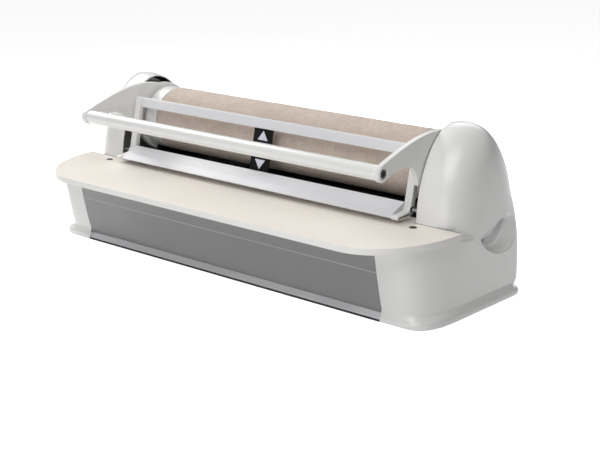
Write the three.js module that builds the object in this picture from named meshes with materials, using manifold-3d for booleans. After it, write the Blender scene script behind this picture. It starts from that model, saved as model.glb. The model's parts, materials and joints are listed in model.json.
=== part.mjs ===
// A table-top flatwork ironer: a padded roller one metre long turns between two
// moulded casings, a lever bar across the front presses a heated trough up
// against it, and linen is fed in over a laminate table under a finger guard.
//
// Millimetres. X runs along the roller, Y from the operator to the back, Z up.
// The origin is on the floor under the middle of the machine.
// Angles are in degrees, counted from +Y towards +Z when seen from +X.

import * as THREE from 'three';
import { mergeVertices } from 'three/addons/utils/BufferGeometryUtils.js';
import Module from 'manifold-3d';

const wasm = await Module();
wasm.setup();

// ---------------------------------------------------------------- sizes ----

// Fits
const SEAT = 0.3;                  // left between two pieces that touch
const RUNNING = 0.3;               // radial clearance of a bore on its pin

// Along X every piece takes its place from the end of the roller
const ROLLER_HALF_LENGTH = 475;
const CAP_RIM_WIDTH = 43.4;
const PAD_HALF_LENGTH = ROLLER_HALF_LENGTH - CAP_RIM_WIDTH;
const ARM_GAP = 10;                // from the roller's end to a lever arm
const ARM_THICKNESS = 14;
const ARM_INNER_X = ROLLER_HALF_LENGTH + ARM_GAP;
const ARM_OUTER_X = ARM_INNER_X + ARM_THICKNESS;
const ARM_TO_CASING = 2;
const CASING_WIDTH = 121;
const SIDE_PLATE_IN_CASING = 23;   // from the casing's open side to the plate

// Casings: a lower body, a narrow ledge at table height and a dome on top
const CASING_INNER_X = ARM_OUTER_X + ARM_TO_CASING;   // the open side, towards the roller
const CASING_SIDE_X = CASING_INNER_X + CASING_WIDTH;
const CASING_BACK_Y = 257;
const CASING_WALL = 4;
const FRONT_CORNER_WIDTH = 70;     // the front turns the corner over this width
const FRONT_CORNER_Y = 10;         // where that corner has become the side
const LEDGE_CORNER_Y = 62;
const BACK_CORNER_RADIUS = 46;
const CORNER_POWER = 2.3;          // superellipse exponent of the front corner
const SKIRT_OUT = 10.6;            // how far the foot flares past the side
const SKIRT_HEIGHT = 29;
const SKIRT_FLOOR_GAP = 1.5;

const DOME_MIDDLE_IN = 87;         // from the casing's side to the dome's middle
const DOME_MIDDLE_Y = 117;
const DOME_HALF_WIDTH = 86.5;      // from the middle out to the side
const DOME_HALF_DEPTH = 135;
const DOME_HEIGHT = 220;           // above the ledge
const DOME_CROWN = 12;             // from the top of the hollow to the dome's top
const DOME_RIM_RADIUS = 4;

// The leaning front, shared by the panel and the casings
const RAIL_TOP_Z = 20.6;
const FRONT_FOOT_Y = -135;         // at the top of the rail
const FRONT_LEAN = 34;             // further forward at LEAN_HEIGHT above it
const LEAN_HEIGHT = 142;
const LEAN_POWER = 0.8;
const RAIL_TOE_Y = -146;
const RAIL_DEPTH = 11;
const RAIL_FLOOR_GAP = 1.5;
const PANEL_THICKNESS = 3;
const PANEL_GROOVE_Z = 121;
const PANEL_GROOVE = 2.4;          // width of the groove; half as deep

// Table board
const TABLE_TOP_Z = 205.3;
const TABLE_THICKNESS = 15.4;
const TABLE_FRONT_Y = -266;
const TABLE_OVERHANG = 10;         // past the casing's side
const TABLE_CORNER_RUN = 162;      // the right corner's length along the front edge
const TABLE_CORNER_POWER = 2.2;
const TABLE_LEFT_RUN = 195;        // the left corner is cut rounder
const TABLE_LEFT_POWER = 1.84;
const TABLE_TONGUE_BACK_Y = 21;    // the board runs on between the casings
const TABLE_SCREW_IN = 16.5;       // from the casing's open side
const TABLE_SCREW_Y = -49.5;
const SCREW_HEAD_RADIUS = 6.5;
const SCREW_SHANK_RADIUS = 3;
const SCREW_SUNK = 1.8;
const SCREW_HEAD_HEIGHT = 5.5;

// Roller
const ROLLER_Y = 133;
const ROLLER_Z = 305;
const PAD_RADIUS = 86;
const PAD_THICKNESS = 8;
const ROLLER_TUBE_WALL = 4;
const END_CAP_WEB = 10;
const SHAFT_RADIUS = 12.5;

// Side plates and base
const SIDE_PLATE_THICKNESS = 4;
const TRAY_FLOOR_Z = 10;
const TRAY_SHEET = 2.5;
const TRAY_LIP_HEIGHT = 30;
const FOOT_RADIUS = 16;
const FOOT_INSET_X = 35;           // from the roller's end
const FOOT_INSET_Y = 34;
const REAR_COVER_SHEET = 2;
const REAR_COVER_TOP_Z = 250;
const VENT_INSET = 245;            // the first air slot, from the roller's end
const VENT_PITCH = 34;
const BEAM = 30;                   // side of the square cross beams
const BEAM_WALL = 3;
const REAR_BEAM_Y = 212;
const REAR_BEAM_Z = 140;
const GUIDE_SHEET = 2;
const GUIDE_BACK_Y = 80;
const GUIDE_DROP = 2.3;            // below the table top
const BEARING_FLANGE = 66;
const BEARING_WIDTH = 12;
const LEVER_HUB_RADIUS = 19.7;

// Lever: two arms that swing about the roller axis, joined by the grip tube
const ARM_DISC_RADIUS = 95;
const GRIP_Y = -270;               // grip axis, from the roller axis
const GRIP_Z = 37;
const GRIP_RADIUS = 17.5;
const GRIP_WALL = 2;
const GRIP_HUB_RADIUS = 20;
const GRIP_SCREW_RADIUS = 5;
const GRIP_SCREW_HEAD = 9;
const GRIP_SCREW_HEAD_HEIGHT = 4;
const GRIP_SCREW_LENGTH = 26;
const LEVER_DOWN = -20;            // travel from rest, bar up is positive
const LEVER_UP = 25;

// Heated trough: it hangs on a pivot behind the roller
const TROUGH_GAP = 2.5;            // to the padding when it is pressed home
const TROUGH_WALL = 10;
const TROUGH_FROM = 245;
const TROUGH_TO = 338;
const SHOE_STRIPS = 5;             // the shoe is made up of strips side by side
const TROUGH_PIVOT_Y = 96;         // from the roller axis
const TROUGH_PIVOT_Z = -43;
const TROUGH_PIVOT_RADIUS = 6;
const TROUGH_EYE_RADIUS = 11;
const TROUGH_REST_OPEN = 4;        // degrees open in the drawn position
const TROUGH_PER_LEVER = 0.2;      // trough degrees for each lever degree
const TROUGH_PLATE = 5.5;
const TROUGH_PLATE_OUTER = 110;
const TROUGH_PLATE_INNER = 62;
const HEATER_RADIUS = 4;
const HEATER_SHORT = 13;           // of the trough's end
const HEATER_ANGLES = [266, 312];
const TROUGH_COVER_SHEET = 1.5;
const CAM_PIN_Y = 14;              // rest place, from the roller axis
const CAM_PIN_Z = -74.5;
const CAM_PIN_RADIUS = 5;
const CAM_SLOT_CLEARANCE = 0.6;

// Finger guard
const GUARD_PIVOT_Y = -5;
const GUARD_PIVOT_Z = 231;
const GUARD_PIVOT_RADIUS = 4;
const GUARD_BRACKET_IN = 15.7;     // from the roller's end inwards
const GUARD_BRACKET_OUT = 5;       // and outwards
const GUARD_TOE_Y = -57;           // front lower edge of the guard plate
const GUARD_TOE_Z = 219.5;
const GUARD_SILL_Y = -4;           // top edge of the guard plate
const GUARD_SILL_Z = 246;
const GUARD_BAR_Y = 17.5;          // lower front edge of the top bar
const GUARD_BAR_Z = 350.6;
const GUARD_BAR_HEIGHT = 24;
const GUARD_BAR_DEPTH = 10;
const GUARD_SHEET = 2.5;
const ARROW_PLATE_HALF_WIDTH = 32;
const ARROW_PLATE_THICKNESS = 2;
const ARROW_SIZE = 24;
const ARROW_THICKNESS = 0.6;

// Drive
const MOTOR_Y = 65;
const MOTOR_Z = 95;
const MOTOR_RADIUS = 38;
const MOTOR_LENGTH = 140;
const GEARBOX_LENGTH = 80;
const GEARBOX_SIDE = 88;
const MOTOR_SHAFT_RADIUS = 8;
const SPROCKET_FROM_PLATE = 22;    // from the side plate's inner face
const SPROCKET_WIDTH = 5;
const ROLLER_SPROCKET_RADIUS = 42;
const MOTOR_SPROCKET_RADIUS = 16.8;
const CHAIN_THICKNESS = 6;

// Controls on the outer side of the left casing, and what lies behind them
const KNOB_Y = 60;
const SWITCH_Y = 130;
const CONTROL_Z = 100;
const KNOB_RADIUS = 20;
const KNOB_HEIGHT = 9;
const KNOB_STEM_RADIUS = 3;
const THERMOSTAT_RADIUS = 18;
const THERMOSTAT_LENGTH = 30;
const SWITCH_LENGTH = 30;
const SWITCH_WIDTH = 22;
const SWITCH_RIM = 2.5;
const ROCKER_TRAVEL = 8;
const GLAND_INSET = 56;            // from the casing's side
const GLAND_Z = 60;
const GLAND_RADIUS = 9;
const CONTROL_BOX = [100, 120, 70];
const CONTROL_BOX_OUT = 5;         // its end stands this far past the roller's

// Grip hollow in the outer side of each casing
const HOLLOW_Y = 146;
const HOLLOW_Z = 161;
const HOLLOW_DEPTH = 24;
const HOLLOW_HALF_LENGTH = 78;
const HOLLOW_HALF_HEIGHT = 42;
const HOLLOW_TILT = 12;

// Worked out from the sizes above
const FRONT_CORNER_X = CASING_SIDE_X - FRONT_CORNER_WIDTH;
const DOME_MIDDLE_X = CASING_SIDE_X - DOME_MIDDLE_IN;
const TABLE_HALF_WIDTH = CASING_SIDE_X + TABLE_OVERHANG;
const TABLE_SCREW_X = CASING_INNER_X + TABLE_SCREW_IN;
const SIDE_PLATE_X = CASING_INNER_X + SIDE_PLATE_IN_CASING;
const FOOT_X = ROLLER_HALF_LENGTH - FOOT_INSET_X;
const TROUGH_HALF_LENGTH = ROLLER_HALF_LENGTH;
const HEATER_HALF_LENGTH = TROUGH_HALF_LENGTH - HEATER_SHORT;
const GUARD_INNER_X = ROLLER_HALF_LENGTH - GUARD_BRACKET_IN;
const GUARD_OUTER_X = ROLLER_HALF_LENGTH + GUARD_BRACKET_OUT;
const SPROCKET_X = SIDE_PLATE_X + SPROCKET_FROM_PLATE;
const GLAND_X = GLAND_INSET - CASING_SIDE_X;
const CONTROL_BOX_X = -ROLLER_HALF_LENGTH - CONTROL_BOX_OUT;
const TABLE_UNDER_Z = TABLE_TOP_Z - TABLE_THICKNESS;
const LEDGE_Z = TABLE_TOP_Z;
const DOME_FRONT_Y = DOME_MIDDLE_Y - DOME_HALF_DEPTH;
const TABLE_BACK_Y = DOME_FRONT_Y - SEAT;
const BODY_TOP_Z = TABLE_UNDER_Z - SEAT;
const BETWEEN_X = CASING_INNER_X - SEAT;
const TRAY_FRONT_Y = RAIL_TOE_Y + 2 * RAIL_DEPTH + SEAT;
const REAR_COVER_Y = CASING_BACK_Y - CASING_WALL;
const TRAY_BACK_Y = REAR_COVER_Y - SEAT;
const SIDE_PLATE_OUTER_X = SIDE_PLATE_X + SIDE_PLATE_THICKNESS;
const INSIDE_X = SIDE_PLATE_X - SEAT;
const TUBE_RADIUS = PAD_RADIUS - PAD_THICKNESS - SEAT;
const TROUGH_INNER = PAD_RADIUS + TROUGH_GAP;
const TROUGH_OUTER = TROUGH_INNER + TROUGH_WALL;
const HEATER_TRACK = TROUGH_OUTER + SEAT + HEATER_RADIUS;
const SHAFT_END_X = SPROCKET_X + SPROCKET_WIDTH + 2;

// -------------------------------------------------------------- helpers ----

const radians = (degrees) => degrees * Math.PI / 180;
const polar = (radius, angle) =>
  [radius * Math.cos(radians(angle)), radius * Math.sin(radians(angle))];

// Shared vertices merged, and the triangles that this leaves without area gone.
function bare(geometry) {
  const plain = geometry.clone();
  plain.deleteAttribute('normal');
  plain.deleteAttribute('uv');
  const merged = mergeVertices(plain, 1e-3);
  const index = merged.index.array;
  const kept = [];
  for (let i = 0; i < index.length; i += 3) {
    const [a, b, c] = [index[i], index[i + 1], index[i + 2]];
    if (a !== b && b !== c && c !== a) kept.push(a, b, c);
  }
  merged.setIndex(kept);
  return merged;
}

// Turns the faces so that they point out of the closed body.
function facingOut(geometry) {
  const closed = bare(geometry);
  const at = closed.attributes.position;
  const index = closed.index.array;
  const a = new THREE.Vector3();
  const b = new THREE.Vector3();
  const c = new THREE.Vector3();
  let volume = 0;
  for (let i = 0; i < index.length; i += 3) {
    a.fromBufferAttribute(at, index[i]);
    b.fromBufferAttribute(at, index[i + 1]);
    c.fromBufferAttribute(at, index[i + 2]);
    volume += a.dot(b.cross(c));
  }
  if (volume < 0) {
    for (let i = 0; i < index.length; i += 3) {
      [index[i], index[i + 1]] = [index[i + 1], index[i]];
    }
  }
  closed.computeVertexNormals();
  return closed;
}

function solid(geometry) {
  const closed = facingOut(geometry);
  return new wasm.Manifold(new wasm.Mesh({
    numProp: 3,
    vertProperties: new Float32Array(closed.attributes.position.array),
    triVerts: new Uint32Array(closed.index.array),
  }));
}

function fromSolid(body) {
  const mesh = body.getMesh();
  const geometry = new THREE.BufferGeometry();
  geometry.setAttribute('position', new THREE.BufferAttribute(mesh.vertProperties, 3));
  geometry.setIndex(new THREE.BufferAttribute(mesh.triVerts, 1));
  geometry.computeVertexNormals();
  return geometry;
}

function cut(geometry, ...tools) {
  let body = solid(geometry);
  for (const tool of tools) body = body.subtract(solid(tool));
  return fromSolid(body);
}

function join(...geometries) {
  let body = solid(geometries[0]);
  for (const more of geometries.slice(1)) body = body.add(solid(more));
  return fromSolid(body);
}

function box(x0, x1, y0, y1, z0, z1) {
  const geometry = new THREE.BoxGeometry(x1 - x0, y1 - y0, z1 - z0);
  return geometry.translate((x0 + x1) / 2, (y0 + y1) / 2, (z0 + z1) / 2);
}

// A shape drawn in the Y-Z plane, pulled along X from x0 to x1.
function alongX(shape, x0, x1, curveSegments = 10) {
  const geometry = new THREE.ExtrudeGeometry(shape, {
    depth: x1 - x0,
    bevelEnabled: false,
    curveSegments,
  });
  const turn = new THREE.Matrix4().set(0, 0, 1, 0, 1, 0, 0, 0, 0, 1, 0, 0, 0, 0, 0, 1);
  return geometry.applyMatrix4(turn).translate(x0, 0, 0);
}

// A shape drawn in the X-Y plane, pulled up from z0 to z1.
function upwards(shape, z0, z1, curveSegments = 16) {
  const geometry = new THREE.ExtrudeGeometry(shape, {
    depth: z1 - z0,
    bevelEnabled: false,
    curveSegments,
  });
  return geometry.translate(0, 0, z0);
}

// A profile of [radius, x] points turned about the X axis, then moved.
function turnedX(profile, y = 0, z = 0, segments = 32) {
  const points = profile.map(([radius, x]) => new THREE.Vector2(radius, x));
  const geometry = new THREE.LatheGeometry(points, segments);
  return geometry.rotateZ(-Math.PI / 2).translate(0, y, z);
}

function rodX(radius, x0, x1, y = 0, z = 0, segments = 20) {
  return turnedX([[0, x0], [radius, x0], [radius, x1], [0, x1]], y, z, segments);
}

function ringX(inner, outer, x0, x1, y = 0, z = 0, segments = 32) {
  const profile = [[inner, x0], [outer, x0], [outer, x1], [inner, x1], [inner, x0]];
  return turnedX(profile, y, z, segments);
}

function rodZ(radius, z0, z1, x, y, segments = 18) {
  const geometry = new THREE.CylinderGeometry(radius, radius, z1 - z0, segments);
  return geometry.rotateX(Math.PI / 2).translate(x, y, (z0 + z1) / 2);
}

// The same piece on the other side of the machine.
function mirrored(geometry) {
  return facingOut(geometry.clone().scale(-1, 1, 1));
}

// A closed outline, always counter-clockwise, as a face or as an opening in one.
function outline(points) {
  const corners = points.map(([u, v]) => new THREE.Vector2(u, v));
  if (THREE.ShapeUtils.area(corners) < 0) corners.reverse();
  return new THREE.Shape(corners);
}

function hole(shape, u, v, radius) {
  shape.holes.push(new THREE.Path().absarc(u, v, radius, 0, 2 * Math.PI));
}

// A quarter of a superellipse about (cx, cy), from angle `from` to `to`.
function quarter(cx, cy, rx, ry, power, from, to, steps) {
  const points = [];
  for (let i = 0; i <= steps; i++) {
    const angle = radians(from + (to - from) * i / steps);
    const c = Math.cos(angle);
    const s = Math.sin(angle);
    points.push([
      cx + rx * Math.sign(c) * Math.abs(c) ** (2 / power),
      cy + ry * Math.sign(s) * Math.abs(s) ** (2 / power),
    ]);
  }
  return points;
}

// Stacks horizontal rings of [x, y, z] points, bottom to top, into one body.
function loft(rings, topPoint = null) {
  const count = rings[0].length;
  const positions = rings.flat();
  const index = [];
  for (let k = 0; k + 1 < rings.length; k++) {
    for (let i = 0; i < count; i++) {
      const a = k * count + i;
      const b = k * count + (i + 1) % count;
      index.push(a, b, b + count, a, b + count, a + count);
    }
  }
  const middle = (ring) => [0, 1, 2].map(
    (axis) => ring.reduce((sum, point) => sum + point[axis], 0) / count);
  const last = (rings.length - 1) * count;
  const bottom = positions.push(middle(rings[0])) - 1;
  const top = positions.push(topPoint ?? middle(rings[rings.length - 1])) - 1;
  for (let i = 0; i < count; i++) {
    const j = (i + 1) % count;
    index.push(bottom, j, i, top, last + i, last + j);
  }
  const geometry = new THREE.BufferGeometry();
  geometry.setAttribute('position', new THREE.Float32BufferAttribute(positions.flat(), 3));
  geometry.setIndex(index);
  return geometry;
}

const root = new THREE.Group();

function add(group, name, geometry, look) {
  const mesh = new THREE.Mesh(facingOut(geometry), new THREE.MeshStandardMaterial(look));
  mesh.name = name;
  group.add(mesh);
  return mesh;
}

// ---------------------------------------------------------------- looks ----

const WHITE = { color: 0xf1f1ee, roughness: 0.32, metalness: 0 };
const WHITE_ENAMEL = { color: 0xeef0f2, roughness: 0.28, metalness: 0 };
const GREY_PANEL = { color: 0x6e6f73, roughness: 0.42, metalness: 0.5 };
const RAIL_METAL = { color: 0x9ea2a8, roughness: 0.35, metalness: 0.9 };
const LAMINATE = { color: 0xf2e9dc, roughness: 0.45, metalness: 0 };
const LINEN = { color: 0xcbb9a6, roughness: 0.95, metalness: 0 };
const STEEL = { color: 0xa8abae, roughness: 0.35, metalness: 1 };
const ZINC = { color: 0x8f9396, roughness: 0.5, metalness: 0.9 };
const BLACK = { color: 0x141416, roughness: 0.6, metalness: 0 };
const DARK_SHOE = { color: 0x2b2b2e, roughness: 0.4, metalness: 0.8 };
const MOTOR_GREY = { color: 0x555a5e, roughness: 0.55, metalness: 0.4 };

// -------------------------------------------------------------- casings ----

// How far forward the leaning front stands at a height.
function frontY(z) {
  const t = Math.max(z - RAIL_TOP_Z, 0) / LEAN_HEIGHT;
  return FRONT_FOOT_Y - FRONT_LEAN * t ** LEAN_POWER;
}

// Plan of the lower body at height z, grown outwards by `grow`.
function bodyRing(z, front, cornerY, grow, innerX) {
  const side = CASING_SIDE_X + grow;
  const back = CASING_BACK_Y + Math.min(grow, SKIRT_OUT - 1);
  const radius = BACK_CORNER_RADIUS + grow;
  const forward = front - grow;
  const plan = [
    [innerX, forward],
    ...quarter(FRONT_CORNER_X, cornerY, side - FRONT_CORNER_X, cornerY - forward,
      CORNER_POWER, -90, 0, 9),
    ...quarter(side - radius, back - radius, radius, radius, 2, 0, 90, 5),
    [innerX, back],
  ];
  return plan.map(([x, y]) => [x, y, z]);
}

// Lower body: grow is positive outside and minus the wall inside.
function lowerBody(grow, floorZ, topZ, innerX) {
  const skirt = [[floorZ, 1], [SKIRT_HEIGHT * 0.62, 0.82], [SKIRT_HEIGHT * 0.83, 0.55],
    [SKIRT_HEIGHT * 0.97, 0.15], [SKIRT_HEIGHT + 5, 0]];
  const heights = [70, 110, 152];
  const rings = skirt.map(([z, flare]) => bodyRing(
    z, FRONT_FOOT_Y, FRONT_CORNER_Y, grow + SKIRT_OUT * flare, innerX));
  // above the skirt the front leans forward
  rings.pop();
  for (const z of [SKIRT_HEIGHT + 5, ...heights, topZ]) {
    rings.push(bodyRing(z, frontY(z), FRONT_CORNER_Y, grow, innerX));
  }
  return loft(rings);
}

// Ledge level with the table top, behind the table's back edge.
function ledge(grow, bottomZ, topZ, innerX) {
  const round = [[bottomZ, 0], [topZ - 7, 0], [topZ - 2.5, -1.2], [topZ, -4]];
  return loft(round.map(([z, draw]) => bodyRing(
    z, DOME_FRONT_Y, LEDGE_CORNER_Y, grow + draw, innerX)));
}

// Half the dome's depth and its reach to the side, at the share t of its height.
const domeDepth = (t) => DOME_HALF_DEPTH * (1 - t ** 1.9) ** (1 / 1.85);
const domeWidth = (t) => DOME_HALF_WIDTH * (1 - t ** 4.7) ** (1 / 2.7);

// Dome: every level is a superellipse that shrinks and rounds with height.
function dome(wall, bottomZ, innerX) {
  const height = DOME_HEIGHT - (wall > 0 ? DOME_CROWN : 0);
  const levels = wall > 0 ? 8 : 11;
  const rings = [];
  const ringAt = (t, z) => {
    const halfDepth = domeDepth(t) - wall;
    const halfWidth = domeWidth(t) - wall;
    const power = 3.2 - 1.7 * t;
    const toInner = (DOME_MIDDLE_X - innerX) * (wall > 0 ? 1 : (1 - t ** 60) ** 0.5);
    const rimX = DOME_MIDDLE_X - toInner;
    const round = Math.min(DOME_RIM_RADIUS, halfDepth * 0.9, toInner * 0.9);
    const outer = quarter(DOME_MIDDLE_X, DOME_MIDDLE_Y, halfWidth, halfDepth,
      power, -90, 90, wall > 0 ? 16 : 22);
    const corner = (y, from) => quarter(rimX + round, y, round, round, 2,
      from, from + 90, wall > 0 ? 1 : 3);
    return [
      ...outer,
      ...corner(DOME_MIDDLE_Y + halfDepth - round, 90),
      ...corner(DOME_MIDDLE_Y - halfDepth + round, 180),
    ].map(([x, y]) => [x, y, z]);
  };
  rings.push(ringAt(0, bottomZ));
  for (let k = 0; k < levels; k++) {
    const t = Math.sin(Math.PI / 2 * k / levels);
    rings.push(ringAt(t, LEDGE_Z + height * t));
  }
  return loft(rings, [DOME_MIDDLE_X, DOME_MIDDLE_Y, LEDGE_Z + height]);
}

// The scoop in the side that the machine is lifted by.
function gripHollow(grow) {
  const geometry = new THREE.SphereGeometry(1, grow > 0 ? 16 : 26, grow > 0 ? 10 : 16);
  geometry.scale(HOLLOW_DEPTH + grow, HOLLOW_HALF_LENGTH + grow, HOLLOW_HALF_HEIGHT + grow);
  geometry.rotateX(radians(HOLLOW_TILT));
  return geometry.translate(CASING_SIDE_X + 2, HOLLOW_Y, HOLLOW_Z);
}

function casing() {
  const through = CASING_INNER_X - 20;
  const outside = solid(lowerBody(0, SKIRT_FLOOR_GAP, BODY_TOP_Z, CASING_INNER_X))
    .add(solid(ledge(0, BODY_TOP_Z - 6, LEDGE_Z, CASING_INNER_X)))
    .add(solid(dome(0, BODY_TOP_Z - 5, CASING_INNER_X)));
  const inside = solid(lowerBody(-CASING_WALL, -5, BODY_TOP_Z - CASING_WALL, through))
    .add(solid(ledge(-CASING_WALL, BODY_TOP_Z - 12, LEDGE_Z - CASING_WALL, through)))
    .add(solid(dome(CASING_WALL, BODY_TOP_Z - 11, through)))
    .subtract(solid(gripHollow(CASING_WALL)));
  return fromSolid(outside.subtract(inside).subtract(solid(gripHollow(0))));
}

const casingGeometry = casing();
add(root, 'right_casing', casingGeometry, WHITE);

// Openings in the left casing for the knob's stem, the switch and the gland.
const wallX = -CASING_SIDE_X;
const stemOpening = rodX(KNOB_STEM_RADIUS + 1, wallX - 5, wallX + 10, KNOB_Y, CONTROL_Z);
const switchOpening = box(wallX - 5, wallX + 10,
  SWITCH_Y - SWITCH_LENGTH / 2 + SWITCH_RIM - SEAT,
  SWITCH_Y + SWITCH_LENGTH / 2 - SWITCH_RIM + SEAT,
  CONTROL_Z - SWITCH_WIDTH / 2 + SWITCH_RIM - SEAT,
  CONTROL_Z + SWITCH_WIDTH / 2 - SWITCH_RIM + SEAT);
const glandOpening = new THREE.CylinderGeometry(
  GLAND_RADIUS - 2, GLAND_RADIUS - 2, 20, 24).translate(GLAND_X, CASING_BACK_Y, GLAND_Z);
add(root, 'left_casing',
  cut(mirrored(casingGeometry), stemOpening, switchOpening, glandOpening), WHITE);

// ---------------------------------------------------- base and side plates ----

function tray() {
  const side = INSIDE_X;
  const sheet = TRAY_SHEET;
  const top = TRAY_FLOOR_Z + TRAY_LIP_HEIGHT;
  return alongX(outline([
    [TRAY_FRONT_Y, TRAY_FLOOR_Z], [TRAY_BACK_Y, TRAY_FLOOR_Z],
    [TRAY_BACK_Y, top], [TRAY_BACK_Y - sheet, top],
    [TRAY_BACK_Y - sheet, TRAY_FLOOR_Z + sheet],
    [TRAY_FRONT_Y + sheet, TRAY_FLOOR_Z + sheet],
    [TRAY_FRONT_Y + sheet, top], [TRAY_FRONT_Y, top],
  ]), -side, side);
}
add(root, 'base_tray', tray(), ZINC);

const footProfile = [
  [0, 0], [FOOT_RADIUS - 2, 0], [FOOT_RADIUS, 2],
  [FOOT_RADIUS * 0.85, TRAY_FLOOR_Z - SEAT], [0, TRAY_FLOOR_Z - SEAT],
].map(([radius, z]) => new THREE.Vector2(radius, z));
const footGeometry = new THREE.LatheGeometry(footProfile, 18).rotateX(Math.PI / 2);
for (const [side, x] of [['left', -FOOT_X], ['right', FOOT_X]]) {
  for (const [end, y] of [['front', TRAY_FRONT_Y + FOOT_INSET_Y],
    ['back', TRAY_BACK_Y - FOOT_INSET_Y]]) {
    add(root, `${end}_${side}_foot`, footGeometry, BLACK).position.set(x, y, 0);
  }
}

// Steel plate that follows the inside of the casing and carries the bearings.
function sidePlate(motorHole) {
  const slack = CASING_WALL + SEAT + 0.4;
  const low = TRAY_FLOOR_Z;
  const points = [[TRAY_FRONT_Y, low], [TRAY_BACK_Y, low]];
  const steps = 14;
  const height = DOME_HEIGHT - DOME_CROWN - 1;
  const arch = [];
  for (let k = 0; k < steps; k++) {
    const t = Math.sin(Math.PI / 2 * k / steps);
    arch.push([Math.max(domeDepth(t) - slack - 2, 2), LEDGE_Z + height * t]);
  }
  points.push(...arch.map(([half, z]) => [DOME_MIDDLE_Y + half, z]));
  points.push(...arch.reverse().map(([half, z]) => [DOME_MIDDLE_Y - half, z]));
  points.push([DOME_FRONT_Y + slack + 2, BODY_TOP_Z - slack]);
  points.push([TRAY_FRONT_Y, BODY_TOP_Z - slack]);
  const shape = outline(points);
  hole(shape, ROLLER_Y, ROLLER_Z, SHAFT_RADIUS + 3);
  if (motorHole) hole(shape, MOTOR_Y, MOTOR_Z, MOTOR_SHAFT_RADIUS + 2);
  const plate = alongX(shape, SIDE_PLATE_X, SIDE_PLATE_OUTER_X);
  // studs welded to the plate: the trough hangs on one, the guard on the other
  const troughStud = rodX(TROUGH_PIVOT_RADIUS, TROUGH_HALF_LENGTH + SEAT, SIDE_PLATE_X + 1,
    ROLLER_Y + TROUGH_PIVOT_Y, ROLLER_Z + TROUGH_PIVOT_Z);
  const guardStud = rodX(GUARD_PIVOT_RADIUS, GUARD_INNER_X + SEAT, SIDE_PLATE_X + 1,
    GUARD_PIVOT_Y, GUARD_PIVOT_Z);
  return join(plate, troughStud, guardStud);
}
add(root, 'right_side_plate', sidePlate(true), ZINC);
add(root, 'left_side_plate', mirrored(sidePlate(false)), ZINC);

function beam(y0, z0) {
  const inner = BEAM_WALL;
  const shape = outline([[y0, z0], [y0 + BEAM, z0], [y0 + BEAM, z0 + BEAM], [y0, z0 + BEAM]]);
  const bore = new THREE.Path();
  bore.moveTo(y0 + inner, z0 + inner);
  bore.lineTo(y0 + inner, z0 + BEAM - inner);
  bore.lineTo(y0 + BEAM - inner, z0 + BEAM - inner);
  bore.lineTo(y0 + BEAM - inner, z0 + inner);
  bore.closePath();
  shape.holes.push(bore);
  return alongX(shape, -INSIDE_X, INSIDE_X);
}
const FRONT_BEAM_Y = TABLE_TONGUE_BACK_Y - BEAM;
add(root, 'front_beam', beam(FRONT_BEAM_Y, BODY_TOP_Z - BEAM), ZINC);
add(root, 'rear_beam', beam(REAR_BEAM_Y, REAR_BEAM_Z), ZINC);

// Dark sheet that leads the linen from the board to the trough.
const guideTop = TABLE_TOP_Z - GUIDE_DROP;
const guideFront = TABLE_TONGUE_BACK_Y + SEAT;
add(root, 'infeed_guide', alongX(outline([
  [guideFront, BODY_TOP_Z - BEAM], [guideFront + GUIDE_SHEET, BODY_TOP_Z - BEAM],
  [guideFront + GUIDE_SHEET, guideTop - GUIDE_SHEET], [GUIDE_BACK_Y, guideTop - GUIDE_SHEET - 3],
  [GUIDE_BACK_Y, guideTop - 3], [guideFront, guideTop],
]), -BETWEEN_X + 4, BETWEEN_X - 4), BLACK);

function rearCover() {
  const top = REAR_COVER_TOP_Z;
  const back = REAR_COVER_Y + REAR_COVER_SHEET;
  const sheet = alongX(outline([
    [REAR_COVER_Y, SKIRT_FLOOR_GAP + 4], [back, SKIRT_FLOOR_GAP + 4], [back, top],
    [back - 9, top], [back - 9, top - REAR_COVER_SHEET],
    [REAR_COVER_Y, top - REAR_COVER_SHEET],
  ]), -BETWEEN_X, BETWEEN_X);
  const vents = [];
  for (const side of [-1, 1]) {
    for (let k = 0; k < 6; k++) {
      const x = side * (ROLLER_HALF_LENGTH - VENT_INSET + VENT_PITCH * k);
      vents.push(box(x - 5, x + 5, REAR_COVER_Y - 5, back + 5, 90, 150));
    }
  }
  return cut(sheet, ...vents);
}
add(root, 'rear_cover', rearCover(), WHITE_ENAMEL);

// ------------------------------------------------------ front and table ----

function frontPanel() {
  const bottom = RAIL_TOP_Z + SEAT;
  const top = BODY_TOP_Z;
  const outer = [];
  const steps = 12;
  for (let k = 0; k <= steps; k++) {
    const z = bottom + (top - bottom) * k / steps;
    outer.push([frontY(z), z]);
  }
  const inner = outer.map(([y, z]) => [y + PANEL_THICKNESS, z]).reverse();
  const groove = alongX(outline([
    [frontY(PANEL_GROOVE_Z) - 2, PANEL_GROOVE_Z - PANEL_GROOVE / 2],
    [frontY(PANEL_GROOVE_Z) + PANEL_GROOVE / 2, PANEL_GROOVE_Z - PANEL_GROOVE / 2],
    [frontY(PANEL_GROOVE_Z) + PANEL_GROOVE / 2, PANEL_GROOVE_Z + PANEL_GROOVE / 2],
    [frontY(PANEL_GROOVE_Z) - 2, PANEL_GROOVE_Z + PANEL_GROOVE / 2],
  ]), -BETWEEN_X - 5, BETWEEN_X + 5);
  return cut(alongX(outline([...outer, ...inner]), -BETWEEN_X, BETWEEN_X), groove);
}
add(root, 'front_panel', frontPanel(), GREY_PANEL);

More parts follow.
